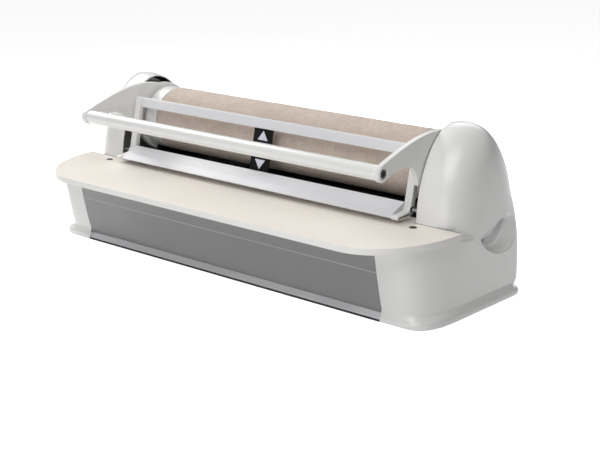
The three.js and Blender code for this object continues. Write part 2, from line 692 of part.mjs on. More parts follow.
add(root, 'front_rail', alongX(outline([
  [RAIL_TOE_Y, RAIL_FLOOR_GAP], [RAIL_TOE_Y + 2 * RAIL_DEPTH, RAIL_FLOOR_GAP],
  [RAIL_TOE_Y + 2 * RAIL_DEPTH, RAIL_TOP_Z], [FRONT_FOOT_Y, RAIL_TOP_Z],
  [RAIL_TOE_Y + 1, RAIL_FLOOR_GAP + 6], [RAIL_TOE_Y, RAIL_FLOOR_GAP + 4],
]), -BETWEEN_X, BETWEEN_X), RAIL_METAL);

function tableBoard() {
  const corner = (run, power) => quarter(TABLE_HALF_WIDTH - run, TABLE_BACK_Y, run,
    TABLE_BACK_Y - TABLE_FRONT_Y, power, -90, 0, 20);
  const right = corner(TABLE_CORNER_RUN, TABLE_CORNER_POWER);
  const left = corner(TABLE_LEFT_RUN, TABLE_LEFT_POWER).map(([x, y]) => [-x, y]).reverse();
  const tongue = BETWEEN_X - 3;
  const shape = outline([
    ...right,
    [tongue, TABLE_BACK_Y], [tongue, TABLE_TONGUE_BACK_Y],
    [-tongue, TABLE_TONGUE_BACK_Y], [-tongue, TABLE_BACK_Y],
    ...left,
  ]);
  const cuts = [];
  for (const x of [-TABLE_SCREW_X, TABLE_SCREW_X]) {
    const headZ = TABLE_TOP_Z - SCREW_SUNK - SCREW_HEAD_HEIGHT - SEAT;
    cuts.push(rodZ(SCREW_HEAD_RADIUS + SEAT, headZ, TABLE_TOP_Z + 5, x, TABLE_SCREW_Y));
    cuts.push(rodZ(SCREW_SHANK_RADIUS + SEAT, TABLE_UNDER_Z - 5, headZ + 1, x, TABLE_SCREW_Y));
  }
  return cut(upwards(shape, TABLE_UNDER_Z, TABLE_TOP_Z), ...cuts);
}
add(root, 'feed_table', tableBoard(), LAMINATE);

function tableScrew(x) {
  const headTop = TABLE_TOP_Z - SCREW_SUNK;
  const head = rodZ(SCREW_HEAD_RADIUS, headTop - SCREW_HEAD_HEIGHT, headTop, x, TABLE_SCREW_Y);
  const shank = rodZ(SCREW_SHANK_RADIUS, TABLE_UNDER_Z, headTop - 1, x, TABLE_SCREW_Y);
  const socket = new THREE.CylinderGeometry(3, 3, 6, 6).rotateX(Math.PI / 2);
  socket.translate(x, TABLE_SCREW_Y, headTop);
  return cut(join(head, shank), socket);
}
add(root, 'left_table_screw', tableScrew(-TABLE_SCREW_X), BLACK);
add(root, 'right_table_screw', tableScrew(TABLE_SCREW_X), BLACK);

// ------------------------------------------------ bearings and lever hubs ----

function bearing() {
  const x0 = SIDE_PLATE_OUTER_X + SEAT;
  const half = BEARING_FLANGE / 2;
  const flange = box(x0, x0 + BEARING_WIDTH / 2, ROLLER_Y - half, ROLLER_Y + half,
    ROLLER_Z - half, ROLLER_Z + half);
  const boss = rodX(half * 0.8, x0, x0 + BEARING_WIDTH, ROLLER_Y, ROLLER_Z, 24);
  const bore = rodX(SHAFT_RADIUS + RUNNING, x0 - 5, x0 + BEARING_WIDTH + 5,
    ROLLER_Y, ROLLER_Z, 24);
  return cut(join(flange, boss), bore);
}
add(root, 'right_bearing', bearing(), MOTOR_GREY);
add(root, 'left_bearing', mirrored(bearing()), MOTOR_GREY);

const hubStart = ARM_INNER_X - 3;
const hubGeometry = ringX(SHAFT_RADIUS + 2, LEVER_HUB_RADIUS, hubStart, INSIDE_X,
  ROLLER_Y, ROLLER_Z);
add(root, 'right_lever_hub', hubGeometry, STEEL);
add(root, 'left_lever_hub', mirrored(hubGeometry), STEEL);

// --------------------------------------------------------------- roller ----

const roller = new THREE.Group();
roller.position.set(0, ROLLER_Y, ROLLER_Z);
root.add(roller);

const capWebX = ROLLER_HALF_LENGTH - END_CAP_WEB;
add(roller, 'roller_tube', ringX(TUBE_RADIUS - ROLLER_TUBE_WALL, TUBE_RADIUS,
  -capWebX + SEAT, capWebX - SEAT, 0, 0, 48), ZINC);
add(roller, 'roller_padding', ringX(PAD_RADIUS - PAD_THICKNESS, PAD_RADIUS,
  -PAD_HALF_LENGTH, PAD_HALF_LENGTH, 0, 0, 64), LINEN);

const capRim = PAD_HALF_LENGTH + SEAT;
const capGeometry = turnedX([
  [SHAFT_RADIUS + SEAT, capWebX], [TUBE_RADIUS + SEAT, capWebX],
  [TUBE_RADIUS + SEAT, capRim], [PAD_RADIUS - 2, capRim], [PAD_RADIUS - 0.5, capRim + 1.5],
  [PAD_RADIUS - 0.5, ROLLER_HALF_LENGTH - 3], [PAD_RADIUS - 3.5, ROLLER_HALF_LENGTH],
  [SHAFT_RADIUS + SEAT, ROLLER_HALF_LENGTH], [SHAFT_RADIUS + SEAT, capWebX],
], 0, 0, 44);
add(roller, 'right_roller_cap', capGeometry, WHITE);
add(roller, 'left_roller_cap', mirrored(capGeometry), WHITE);
add(roller, 'roller_shaft', rodX(SHAFT_RADIUS,
  -(SIDE_PLATE_OUTER_X + BEARING_WIDTH + 3), SHAFT_END_X, 0, 0, 32), STEEL);

// A chain wheel with one tooth for each 8.8 mm of its pitch circle.
function sprocket(radius, bore) {
  const teeth = Math.round(2 * Math.PI * radius / 8.8);
  const tip = radius - SEAT;
  const points = [];
  for (let k = 0; k < teeth; k++) {
    const step = 360 / teeth;
    points.push(polar(tip - 3.4, k * step), polar(tip, (k + 0.3) * step),
      polar(tip, (k + 0.5) * step), polar(tip - 3.4, (k + 0.8) * step));
  }
  const shape = outline(points);
  hole(shape, 0, 0, bore);
  return alongX(shape, SPROCKET_X, SPROCKET_X + SPROCKET_WIDTH);
}
add(roller, 'roller_sprocket', sprocket(ROLLER_SPROCKET_RADIUS, SHAFT_RADIUS + SEAT), STEEL);

// ---------------------------------------------------------------- drive ----

const gearboxEnd = INSIDE_X;
const gearboxHalf = GEARBOX_SIDE / 2;
add(root, 'gearbox', cut(
  box(gearboxEnd - GEARBOX_LENGTH, gearboxEnd, MOTOR_Y - gearboxHalf, MOTOR_Y + gearboxHalf,
    MOTOR_Z - gearboxHalf, MOTOR_Z + gearboxHalf),
  rodX(MOTOR_SHAFT_RADIUS + RUNNING, gearboxEnd - 32, gearboxEnd + 5, MOTOR_Y, MOTOR_Z),
), MOTOR_GREY);
const motorEnd = gearboxEnd - GEARBOX_LENGTH - SEAT;
add(root, 'motor', turnedX([
  [0, motorEnd - MOTOR_LENGTH], [MOTOR_RADIUS - 6, motorEnd - MOTOR_LENGTH],
  [MOTOR_RADIUS, motorEnd - MOTOR_LENGTH + 8], [MOTOR_RADIUS, motorEnd], [0, motorEnd],
], MOTOR_Y, MOTOR_Z, 32), MOTOR_GREY);

const drive = new THREE.Group();
drive.position.set(0, MOTOR_Y, MOTOR_Z);
root.add(drive);
add(drive, 'motor_shaft', rodX(MOTOR_SHAFT_RADIUS, gearboxEnd - 30, SHAFT_END_X), STEEL);
add(drive, 'motor_sprocket',
  sprocket(MOTOR_SPROCKET_RADIUS, MOTOR_SHAFT_RADIUS + SEAT), STEEL);

// The chain lies on both wheels and runs straight between them.
function chainLoop(grow) {
  const dy = MOTOR_Y - ROLLER_Y;
  const dz = MOTOR_Z - ROLLER_Z;
  const distance = Math.hypot(dy, dz);
  const heading = THREE.MathUtils.radToDeg(Math.atan2(dz, dy));
  const lean = THREE.MathUtils.radToDeg(
    Math.acos((ROLLER_SPROCKET_RADIUS - MOTOR_SPROCKET_RADIUS) / distance));
  const big = ROLLER_SPROCKET_RADIUS + grow;
  const small = MOTOR_SPROCKET_RADIUS + grow;
  const points = [];
  const steps = 20;
  for (let k = 0; k <= steps; k++) {
    const angle = heading + lean + (360 - 2 * lean) * k / steps;
    const [y, z] = polar(big, angle);
    points.push([ROLLER_Y + y, ROLLER_Z + z]);
  }
  for (let k = 0; k <= steps; k++) {
    const angle = heading - lean + 2 * lean * k / steps;
    const [y, z] = polar(small, angle);
    points.push([MOTOR_Y + y, MOTOR_Z + z]);
  }
  return points;
}
const chain = outline(chainLoop(CHAIN_THICKNESS));
chain.holes.push(outline(chainLoop(SEAT / 2)));
add(root, 'drive_chain', alongX(chain, SPROCKET_X + 0.5, SPROCKET_X + SPROCKET_WIDTH - 0.5),
  STEEL);

// ---------------------------------------------------------------- lever ----

const lever = new THREE.Group();
lever.position.set(0, ROLLER_Y, ROLLER_Z);
root.add(lever);

function rotate([y, z], degrees) {
  const c = Math.cos(radians(degrees));
  const s = Math.sin(radians(degrees));
  return [y * c - z * s, y * s + z * c];
}

// Where the trough's cam pin stands, seen from the lever, at a lever angle.
function camPinOnLever(leverAngle) {
  const arm = [CAM_PIN_Y - TROUGH_PIVOT_Y, CAM_PIN_Z - TROUGH_PIVOT_Z];
  const [y, z] = rotate(arm, TROUGH_PER_LEVER * leverAngle);
  return rotate([y + TROUGH_PIVOT_Y, z + TROUGH_PIVOT_Z], leverAngle);
}

// The slot that the cam pin runs in, a little longer than the travel.
function camSlot() {
  const half = CAM_PIN_RADIUS + CAM_SLOT_CLEARANCE;
  const from = LEVER_DOWN - 1;
  const to = LEVER_UP + 1;
  const steps = 14;
  const places = [];
  for (let k = 0; k <= steps; k++) {
    places.push(camPinOnLever(from + (to - from) * k / steps));
  }
  const left = [];
  const right = [];
  places.forEach(([y, z], k) => {
    const [ya, za] = places[Math.max(k - 1, 0)];
    const [yb, zb] = places[Math.min(k + 1, steps)];
    const length = Math.hypot(yb - ya, zb - za);
    const across = [(za - zb) / length * half, (yb - ya) / length * half];
    left.push([y + across[0], z + across[1]]);
    right.push([y - across[0], z - across[1]]);
  });
  // round ends: half circles about the first and last place
  const endArc = (place, start) => {
    const [y, z] = place;
    const angle = Math.atan2(start[1] - z, start[0] - y);
    const arc = [];
    for (let k = 1; k < 8; k++) {
      const turn = angle - Math.PI * k / 8;
      arc.push([y + half * Math.cos(turn), z + half * Math.sin(turn)]);
    }
    return arc;
  };
  const points = [
    ...left, ...endArc(places[steps], left[steps]),
    ...right.reverse(), ...endArc(places[0], right[right.length - 1]),
  ];
  return outline(points);
}

function leverArm() {
  const shape = new THREE.Shape();
  const hubAngle = (degrees) => {
    const [y, z] = polar(GRIP_HUB_RADIUS, degrees);
    return [GRIP_Y + y, GRIP_Z + z];
  };
  const disc = ARM_DISC_RADIUS;
  const [startY, startZ] = hubAngle(110);
  const [joinY, joinZ] = polar(disc, 96);
  const [tailY, tailZ] = [GRIP_Y * 0.5, -8];
  const tail = 8;
  shape.moveTo(startY, startZ);
  shape.bezierCurveTo(GRIP_Y * 0.7, GRIP_Z + 51, GRIP_Y * 0.35, disc + 23, joinY, joinZ);
  shape.absarc(0, 0, disc, radians(96), radians(-168), true);
  shape.quadraticCurveTo(tailY + 18, tailZ + 12, tailY + tail, tailZ);
  shape.absarc(tailY, tailZ, tail, 0, -Math.PI, true);
  shape.bezierCurveTo(tailY - tail - 2, tailZ + 22, tailY - 24, GRIP_Z, tailY - 46, GRIP_Z);
  const [lowY, lowZ] = hubAngle(-45);
  shape.bezierCurveTo(tailY - 72, GRIP_Z + 1, lowY + 22, lowZ + 9, lowY, lowZ);
  shape.absarc(GRIP_Y, GRIP_Z, GRIP_HUB_RADIUS, radians(-45), radians(110), true);
  hole(shape, 0, 0, LEVER_HUB_RADIUS + RUNNING);
  hole(shape, GRIP_Y, GRIP_Z, GRIP_SCREW_RADIUS + RUNNING);
  shape.holes.push(camSlot());
  const sink = rodX(GRIP_SCREW_HEAD + 3, ARM_OUTER_X - GRIP_SCREW_HEAD_HEIGHT - 1,
    ARM_OUTER_X + 5, GRIP_Y, GRIP_Z, 32);
  return cut(alongX(shape, ARM_INNER_X, ARM_OUTER_X, 11), sink);
}
const armGeometry = leverArm();
add(lever, 'right_lever_arm', armGeometry, WHITE_ENAMEL);
add(lever, 'left_lever_arm', mirrored(armGeometry), WHITE_ENAMEL);

// The grip tube closes at its ends with the blocks that take the screws.
function gripTube() {
  const end = ARM_INNER_X - SEAT;
  const block = GRIP_SCREW_LENGTH;
  const bore = GRIP_SCREW_RADIUS + RUNNING;
  const inner = GRIP_RADIUS - GRIP_WALL;
  const plug = (side) => ringX(bore, inner + 0.5, Math.min(side * end, side * (end - block)),
    Math.max(side * end, side * (end - block)), 0, 0, 32);
  return join(ringX(inner, GRIP_RADIUS, -end, end, 0, 0, 32), plug(1), plug(-1));
}
add(lever, 'grip_tube', gripTube().translate(0, GRIP_Y, GRIP_Z), WHITE_ENAMEL);

function gripScrew() {
  const seat = ARM_OUTER_X - GRIP_SCREW_HEAD_HEIGHT - 1 + SEAT;
  const head = rodX(GRIP_SCREW_HEAD, seat, seat + GRIP_SCREW_HEAD_HEIGHT, GRIP_Y, GRIP_Z, 28);
  const shank = rodX(GRIP_SCREW_RADIUS, ARM_OUTER_X - GRIP_SCREW_LENGTH - 8, seat + 1,
    GRIP_Y, GRIP_Z);
  const socket = rodX(4, seat + 1, seat + GRIP_SCREW_HEAD_HEIGHT + 2, GRIP_Y, GRIP_Z, 6);
  return cut(join(head, shank), socket);
}
add(lever, 'right_grip_screw', gripScrew(), BLACK);
add(lever, 'left_grip_screw', mirrored(gripScrew()), BLACK);

// --------------------------------------------------------------- trough ----

// Drawn pressed home about the roller axis, then opened about its pivot.
const trough = new THREE.Group();
trough.position.set(0, ROLLER_Y + TROUGH_PIVOT_Y, ROLLER_Z + TROUGH_PIVOT_Z);
trough.rotation.x = radians(TROUGH_REST_OPEN);
root.add(trough);
const toPivot = (geometry) => geometry.translate(0, -TROUGH_PIVOT_Y, -TROUGH_PIVOT_Z);

function sector(inner, outer, from, to) {
  const shape = new THREE.Shape();
  shape.absarc(0, 0, outer, radians(from), radians(to), false);
  shape.absarc(0, 0, inner, radians(to), radians(from), true);
  return shape;
}

// One strip of the shoe, number k from the front, with a seam to the next one.
function shoeStrip(k) {
  const pitch = (TROUGH_TO - TROUGH_FROM) / SHOE_STRIPS;
  const seam = THREE.MathUtils.radToDeg(SEAT / TROUGH_INNER);
  const from = TROUGH_FROM + k * pitch + seam / 2;
  return alongX(sector(TROUGH_INNER, TROUGH_OUTER, from, from + pitch - seam),
    -TROUGH_HALF_LENGTH, TROUGH_HALF_LENGTH, 4);
}

// The lip on the first strip opens forward to take the linen.
function shoeLip() {
  const [y0, z0] = polar(TROUGH_INNER, TROUGH_FROM);
  const [y1, z1] = polar(TROUGH_OUTER, TROUGH_FROM);
  const [y2, z2] = polar(TROUGH_INNER + 2, TROUGH_FROM + 6);
  return alongX(outline([
    [y0 + 0.4, z0 - 0.1], [y2, z2 - 1], [y1 + 2, z1 - 1.2], [y1 - 7, z1 + 3], [y0 - 9, z0 - 1],
  ]), -TROUGH_HALF_LENGTH, TROUGH_HALF_LENGTH);
}

for (let k = 0; k < SHOE_STRIPS; k++) {
  const strip = k === 0 ? join(shoeStrip(k), shoeLip()) : shoeStrip(k);
  add(trough, `trough_shoe_${k + 1}`, toPivot(strip), DARK_SHOE);
}

// A hairpin tube under the shoe: two straight runs and the bend that joins them.
function heatingElement() {
  const [near, far] = HEATER_ANGLES;
  const runs = HEATER_ANGLES.map((angle) => {
    const [y, z] = polar(HEATER_TRACK, angle);
    return rodX(HEATER_RADIUS, -HEATER_HALF_LENGTH, HEATER_HALF_LENGTH, y, z, 12);
  });
  const rings = [];
  const steps = 5;
  for (let k = 0; k <= steps; k++) {
    const angle = near + (far - near) * k / steps;
    const ring = [];
    for (let i = 0; i < 12; i++) {
      const [x, out] = polar(HEATER_RADIUS - SEAT / 2, i * 30);
      const [y, z] = polar(HEATER_TRACK + out, angle);
      ring.push([x - HEATER_HALF_LENGTH + HEATER_RADIUS, y, z]);
    }
    rings.push(ring);
  }
  return join(...runs, loft(rings));
}
add(trough, 'heating_element', toPivot(heatingElement()), ZINC);

// Sheet cover under the elements; its folded ends stand on the shoe.
function troughCover() {
  const inner = HEATER_TRACK + HEATER_RADIUS + SEAT;
  const outer = inner + TROUGH_COVER_SHEET;
  const fold = TROUGH_COVER_SHEET / outer * 180 / Math.PI;
  const from = TROUGH_FROM + 6;
  const to = TROUGH_TO - 6;
  const shape = new THREE.Shape();
  const low = TROUGH_OUTER + SEAT;
  shape.absarc(0, 0, outer, radians(from), radians(to), false);
  shape.absarc(0, 0, low, radians(to), radians(to - fold), true);
  shape.absarc(0, 0, inner, radians(to - fold), radians(from + fold), true);
  shape.absarc(0, 0, low, radians(from + fold), radians(from), true);
  return alongX(shape, -TROUGH_HALF_LENGTH, TROUGH_HALF_LENGTH, 14);
}
add(trough, 'trough_cover', toPivot(troughCover()), ZINC);

// The cam pin's place in the trough as it is drawn, pressed home.
const camPinHome = (() => {
  const arm = [CAM_PIN_Y - TROUGH_PIVOT_Y, CAM_PIN_Z - TROUGH_PIVOT_Z];
  const [y, z] = rotate(arm, -TROUGH_REST_OPEN);
  return [y + TROUGH_PIVOT_Y, z + TROUGH_PIVOT_Z];
})();

function troughPlate() {
  const from = TROUGH_FROM - 3;
  const toEye = 360 + THREE.MathUtils.radToDeg(Math.atan2(TROUGH_PIVOT_Z, TROUGH_PIVOT_Y));
  const shape = new THREE.Shape();
  shape.absarc(0, 0, TROUGH_PLATE_OUTER, radians(from), radians(toEye - 7), false);
  shape.absarc(TROUGH_PIVOT_Y, TROUGH_PIVOT_Z, TROUGH_EYE_RADIUS,
    radians(toEye - 410), radians(toEye - 210), false);
  shape.absarc(0, 0, TROUGH_PLATE_INNER, radians(toEye + 3), radians(from), true);
  hole(shape, TROUGH_PIVOT_Y, TROUGH_PIVOT_Z, TROUGH_PIVOT_RADIUS + RUNNING);
  hole(shape, camPinHome[0], camPinHome[1], CAM_PIN_RADIUS + RUNNING);
  const x0 = TROUGH_HALF_LENGTH + SEAT + 1;
  return alongX(shape, x0, x0 + TROUGH_PLATE, 12);
}
add(trough, 'right_trough_plate', toPivot(troughPlate()), DARK_SHOE);
add(trough, 'left_trough_plate', toPivot(mirrored(troughPlate())), DARK_SHOE);

const camPin = rodX(CAM_PIN_RADIUS, TROUGH_HALF_LENGTH + SEAT + 1, ARM_OUTER_X - 1,
  camPinHome[0], camPinHome[1]);
add(trough, 'right_cam_pin', toPivot(camPin.clone()), STEEL);
add(trough, 'left_cam_pin', toPivot(mirrored(camPin)), STEEL);

// --------------------------------------------------------- finger guard ----

const guard = new THREE.Group();
guard.position.set(0, GUARD_PIVOT_Y, GUARD_PIVOT_Z);
root.add(guard);
const toGuard = (geometry) => geometry.translate(0, -GUARD_PIVOT_Y, -GUARD_PIVOT_Z);

// Cast end: a foot that lies along the plate and a post up to the top bar.
function guardBracket() {
  const barTopY = GUARD_BAR_Y + 5.2;
  const barTopZ = GUARD_BAR_Z + GUARD_BAR_HEIGHT;
  const shape = outline([
    [GUARD_TOE_Y - 3, GUARD_TOE_Z + 1], [GUARD_SILL_Y - 2, GUARD_SILL_Z + 3],
    [GUARD_BAR_Y - 1, GUARD_BAR_Z], [barTopY - 1, barTopZ - 2], [barTopY + 1, barTopZ + 1],
    [barTopY + GUARD_BAR_DEPTH, barTopZ + 1], [barTopY + GUARD_BAR_DEPTH + 2, barTopZ - 2],
    [GUARD_SILL_Y + 15, GUARD_SILL_Z - 4], [GUARD_PIVOT_Y + 10, GUARD_PIVOT_Z - 10],
    [GUARD_PIVOT_Y, GUARD_PIVOT_Z - 15], [GUARD_TOE_Y + 14, GUARD_TOE_Z - 5],
    [GUARD_TOE_Y, GUARD_TOE_Z - 5],
  ]);
  hole(shape, GUARD_PIVOT_Y, GUARD_PIVOT_Z, GUARD_PIVOT_RADIUS + RUNNING);
  return alongX(shape, GUARD_INNER_X, GUARD_OUTER_X);
}
add(guard, 'right_guard_bracket', toGuard(guardBracket()), WHITE_ENAMEL);
add(guard, 'left_guard_bracket', toGuard(mirrored(guardBracket())), WHITE_ENAMEL);

const guardSpan = GUARD_INNER_X - SEAT;
const barLean = 5.2;
add(guard, 'guard_top_bar', toGuard(alongX(outline([
  [GUARD_BAR_Y, GUARD_BAR_Z], [GUARD_BAR_Y + barLean, GUARD_BAR_Z + GUARD_BAR_HEIGHT],
  [GUARD_BAR_Y + barLean + GUARD_BAR_DEPTH, GUARD_BAR_Z + GUARD_BAR_HEIGHT],
  [GUARD_BAR_Y + GUARD_BAR_DEPTH, GUARD_BAR_Z],
]), -guardSpan, guardSpan)), WHITE_ENAMEL);

// Bent sheet between the brackets, with a crease a third of the way up.
const creaseY = GUARD_TOE_Y + 19;
const creaseZ = GUARD_TOE_Z + 12;
add(guard, 'guard_plate', toGuard(alongX(outline([
  [GUARD_TOE_Y, GUARD_TOE_Z], [creaseY, creaseZ], [GUARD_SILL_Y, GUARD_SILL_Z],
  [GUARD_SILL_Y + 5, GUARD_SILL_Z - 2], [GUARD_SILL_Y + 4, GUARD_SILL_Z - 4.5],
  [GUARD_SILL_Y, GUARD_SILL_Z - 2.8],
  [creaseY + 1, creaseZ - GUARD_SHEET - 0.3], [GUARD_TOE_Y + 1, GUARD_TOE_Z - GUARD_SHEET],
]), -guardSpan, guardSpan)), WHITE_ENAMEL);

// Dark plate that ties the top bar to the lower plate, with two raised triangles
// that show the bar's travel.
const tieLean = (GUARD_BAR_Y - GUARD_SILL_Y) / (GUARD_BAR_Z - GUARD_SILL_Z);
const tieFaceY = (z) => GUARD_SILL_Y + (z - GUARD_SILL_Z) * tieLean + 1;
const tieLow = GUARD_SILL_Z + SEAT;
const tieHigh = GUARD_BAR_Z - SEAT;
const tiePlate = alongX(outline([
  [tieFaceY(tieLow), tieLow], [tieFaceY(tieHigh), tieHigh],
  [tieFaceY(tieHigh) + ARROW_PLATE_THICKNESS, tieHigh],
  [tieFaceY(tieLow) + ARROW_PLATE_THICKNESS, tieLow],
]), -ARROW_PLATE_HALF_WIDTH, ARROW_PLATE_HALF_WIDTH);

// A triangle on the dark plate, pointing up or down.
function arrow(baseZ, tipZ) {
  const half = ARROW_SIZE * 0.6;
  const shape = outline([[-half, 0], [half, 0], [0, ARROW_SIZE]]);
  const geometry = new THREE.ExtrudeGeometry(shape, {
    depth: ARROW_THICKNESS,
    bevelEnabled: false,
  });
  // stand the triangle up, lean it with the plate, tip towards tipZ
  const down = tipZ < baseZ;
  if (down) geometry.rotateZ(Math.PI);
  geometry.rotateX(Math.PI / 2 - Math.atan(tieLean));
  return geometry.translate(0, tieFaceY(baseZ) + SEAT / 2, baseZ);
}
const upArrow = arrow(tieHigh - 4 - ARROW_SIZE, tieHigh);
const downArrow = arrow(tieLow + 4 + ARROW_SIZE, tieLow);
add(guard, 'arrow_plate', toGuard(join(tiePlate, upArrow, downArrow)), BLACK);

// ------------------------------------------------------------- controls ----

const outerX = -CASING_SIDE_X - SEAT;
const innerX = -CASING_SIDE_X + CASING_WALL + SEAT;

add(root, 'thermostat', cut(
  rodX(THERMOSTAT_RADIUS, innerX, innerX + THERMOSTAT_LENGTH, KNOB_Y, CONTROL_Z, 24),
  rodX(KNOB_STEM_RADIUS + RUNNING, innerX - 5, innerX + 18, KNOB_Y, CONTROL_Z),
), MOTOR_GREY);

const knob = new THREE.Group();
knob.position.set(outerX, KNOB_Y, CONTROL_Z);
root.add(knob);
function knobGeometry() {
  const body = turnedX([
    [0, -KNOB_HEIGHT], [KNOB_RADIUS - 4, -KNOB_HEIGHT], [KNOB_RADIUS - 2, -KNOB_HEIGHT + 2],
    [KNOB_RADIUS, 0], [KNOB_STEM_RADIUS, 0], [KNOB_STEM_RADIUS, 16], [0, 16],
  ], 0, 0, 40);
  const mark = box(-KNOB_HEIGHT - 1, -KNOB_HEIGHT + 1, -0.8, 0.8, 4, KNOB_RADIUS - 5);
  return cut(body, mark);
}
add(knob, 'thermostat_knob', knobGeometry(), BLACK);

function switchHousing() {
  const half = SWITCH_LENGTH / 2;
  const wide = SWITCH_WIDTH / 2;
  const rim = SWITCH_RIM;
  const flange = box(outerX - 3, outerX, SWITCH_Y - half, SWITCH_Y + half,
    CONTROL_Z - wide, CONTROL_Z + wide);
  const body = box(outerX - 1, outerX + 22, SWITCH_Y - half + rim, SWITCH_Y + half - rim,
    CONTROL_Z - wide + rim, CONTROL_Z + wide - rim);
  const pocket = box(outerX - 8, outerX + 9, SWITCH_Y - half + 2 * rim,
    SWITCH_Y + half - 2 * rim, CONTROL_Z - wide + 2 * rim, CONTROL_Z + wide - 2 * rim);
  return cut(join(flange, body), pocket);
}
add(root, 'switch_housing', switchHousing(), BLACK);

const rocker = new THREE.Group();
rocker.position.set(outerX + 2, SWITCH_Y, CONTROL_Z);
root.add(rocker);
function rockerGeometry() {
  const half = SWITCH_LENGTH / 2 - 2 * SWITCH_RIM - 1;
  const wide = SWITCH_WIDTH / 2 - 2 * SWITCH_RIM - 0.4;
  // a shallow V on the outside, drawn in X-Y and pulled along Z
  const shape = outline([[-6, -half], [-4.4, 0], [-6, half], [2, half * 0.5], [2, -half * 0.5]]);
  return upwards(shape, -wide, wide);
}
const rockerMesh = add(rocker, 'rocker', rockerGeometry(), BLACK);
rockerMesh.rotation.z = radians(ROCKER_TRAVEL);

const glandGeometry = new THREE.LatheGeometry([
  [GLAND_RADIUS - 4, -12], [GLAND_RADIUS - 2 - SEAT, -12], [GLAND_RADIUS - 2 - SEAT, SEAT],
  [GLAND_RADIUS, SEAT], [GLAND_RADIUS, 5], [GLAND_RADIUS - 2, 8.5], [GLAND_RADIUS - 4, 8.5],
  [GLAND_RADIUS - 4, -12],
].map(([radius, y]) => new THREE.Vector2(radius, y)), 20);
add(root, 'cable_gland', glandGeometry, BLACK).position.set(GLAND_X, CASING_BACK_Y, GLAND_Z);

const [controlLength, controlDepth, controlHeight] = CONTROL_BOX;
const controlFloor = TRAY_FLOOR_Z + TRAY_SHEET + SEAT;
add(root, 'control_box', box(CONTROL_BOX_X, CONTROL_BOX_X + controlLength, 0, controlDepth,
  controlFloor, controlFloor + controlHeight), ZINC);

export default root;
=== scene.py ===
"""A table-top flatwork ironer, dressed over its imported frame.

Sizes are millimetres in the part's own frame: X along the roller, Y from the operator to the
back, Z up, the origin on the floor under the middle. The finished meshes are in metres.
"""

import json
import math

import bmesh
import bpy
import numpy as np
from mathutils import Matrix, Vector

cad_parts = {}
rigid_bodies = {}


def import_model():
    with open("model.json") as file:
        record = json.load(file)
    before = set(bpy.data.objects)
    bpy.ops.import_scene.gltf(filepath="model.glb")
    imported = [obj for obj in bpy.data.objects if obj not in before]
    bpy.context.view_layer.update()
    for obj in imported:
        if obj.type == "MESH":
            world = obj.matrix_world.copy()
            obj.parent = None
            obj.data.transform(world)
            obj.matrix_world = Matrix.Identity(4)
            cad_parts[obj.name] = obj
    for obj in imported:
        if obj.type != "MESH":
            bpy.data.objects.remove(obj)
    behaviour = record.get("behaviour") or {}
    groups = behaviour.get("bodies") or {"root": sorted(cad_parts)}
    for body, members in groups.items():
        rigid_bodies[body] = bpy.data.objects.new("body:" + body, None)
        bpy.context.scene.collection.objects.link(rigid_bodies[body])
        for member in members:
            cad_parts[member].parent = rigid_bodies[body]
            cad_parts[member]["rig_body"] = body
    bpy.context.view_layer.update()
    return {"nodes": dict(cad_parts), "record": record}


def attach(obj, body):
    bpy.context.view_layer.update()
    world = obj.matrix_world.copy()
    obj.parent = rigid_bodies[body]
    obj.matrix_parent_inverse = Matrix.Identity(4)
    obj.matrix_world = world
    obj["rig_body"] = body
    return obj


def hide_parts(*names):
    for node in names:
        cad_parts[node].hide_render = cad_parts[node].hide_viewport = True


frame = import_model()

MM = 0.001


def linked(name, data):
    """A new object with that data, put into the scene."""
    obj = bpy.data.objects.new(name, data)
    bpy.context.scene.collection.objects.link(obj)
    return obj


def aimed(obj, place, direction):
    """Puts a camera or a lamp at `place`, looking along `direction`, its upper side up."""
    obj.location = place
    obj.rotation_mode = "QUATERNION"
    obj.rotation_quaternion = Vector(direction).to_track_quat("-Z", "Y")


# ---------------------------------------------------------------- camera ----

camera_data = bpy.data.cameras.new("camera")
camera_data.sensor_width = 36.0
camera_data.lens = 77.92
camera_data.clip_end = 50.0
camera = linked("camera", camera_data)
aimed(camera, (2.1768, -2.3381, 1.0158), (-0.6322, 0.7244, -0.2748))
bpy.context.scene.camera = camera

# ----------------------------------------------------------------- sizes ----

CASING_INNER_X, CASING_SIDE_X, CASING_BACK_Y = 501.0, 622.0, 257.0
CASING_WALL = 3.4
CASING_RIM = 1.2                    # quarter round along the open edge
FRONT_CORNER_X, FRONT_CORNER_Y = 552.0, 10.0
CORNER_POWER, FOOT_CORNER_POWER = 2.3, 3.5
BACK_RADIUS, FOOT_BACK_RADIUS, NECK_BACK_RADIUS = 32.0, 44.0, 60.0
SHOULDER_FRONT_Z = 189.3
SKIRT_OUT, SKIRT_FLOOR_Z, SKIRT_TOP_Z = 10.4, 1.5, 33.0
BACK_SKIRT_OUT = 9.4
DOME_X, DOME_Y, DOME_FOOT_Z = 535.0, 117.0, 205.3
DOME_WIDTH, DOME_DEPTH, DOME_HEIGHT = 86.3, 135.0, 219.8
DOME_RIM = 4.0
LEDGE_RISE = 13.0

FRONT_FOOT_Y, FRONT_FOOT_Z = -135.0, 20.6
FRONT_REACH, FRONT_RISE = 34.0, 142.0
PANEL_HALF, PANEL_SHEET = 500.6, 3.0

TABLE_TOP_Z, TABLE_UNDER_Z = 205.3, 189.9
TABLE_FRONT_Y, TABLE_BACK_Y = -266.0, -18.3
TABLE_HALF = 632.0
TABLE_TONGUE = (497.7, 21.0)
TABLE_CORNERS = ((162.0, 2.2), (195.0, 1.84))  # width and power, right and left
TABLE_SCREW = (517.5, -49.5)

ROLLER_Y, ROLLER_Z = 133.0, 305.0
PAD_RADIUS, PAD_HALF = 86.0, 431.6

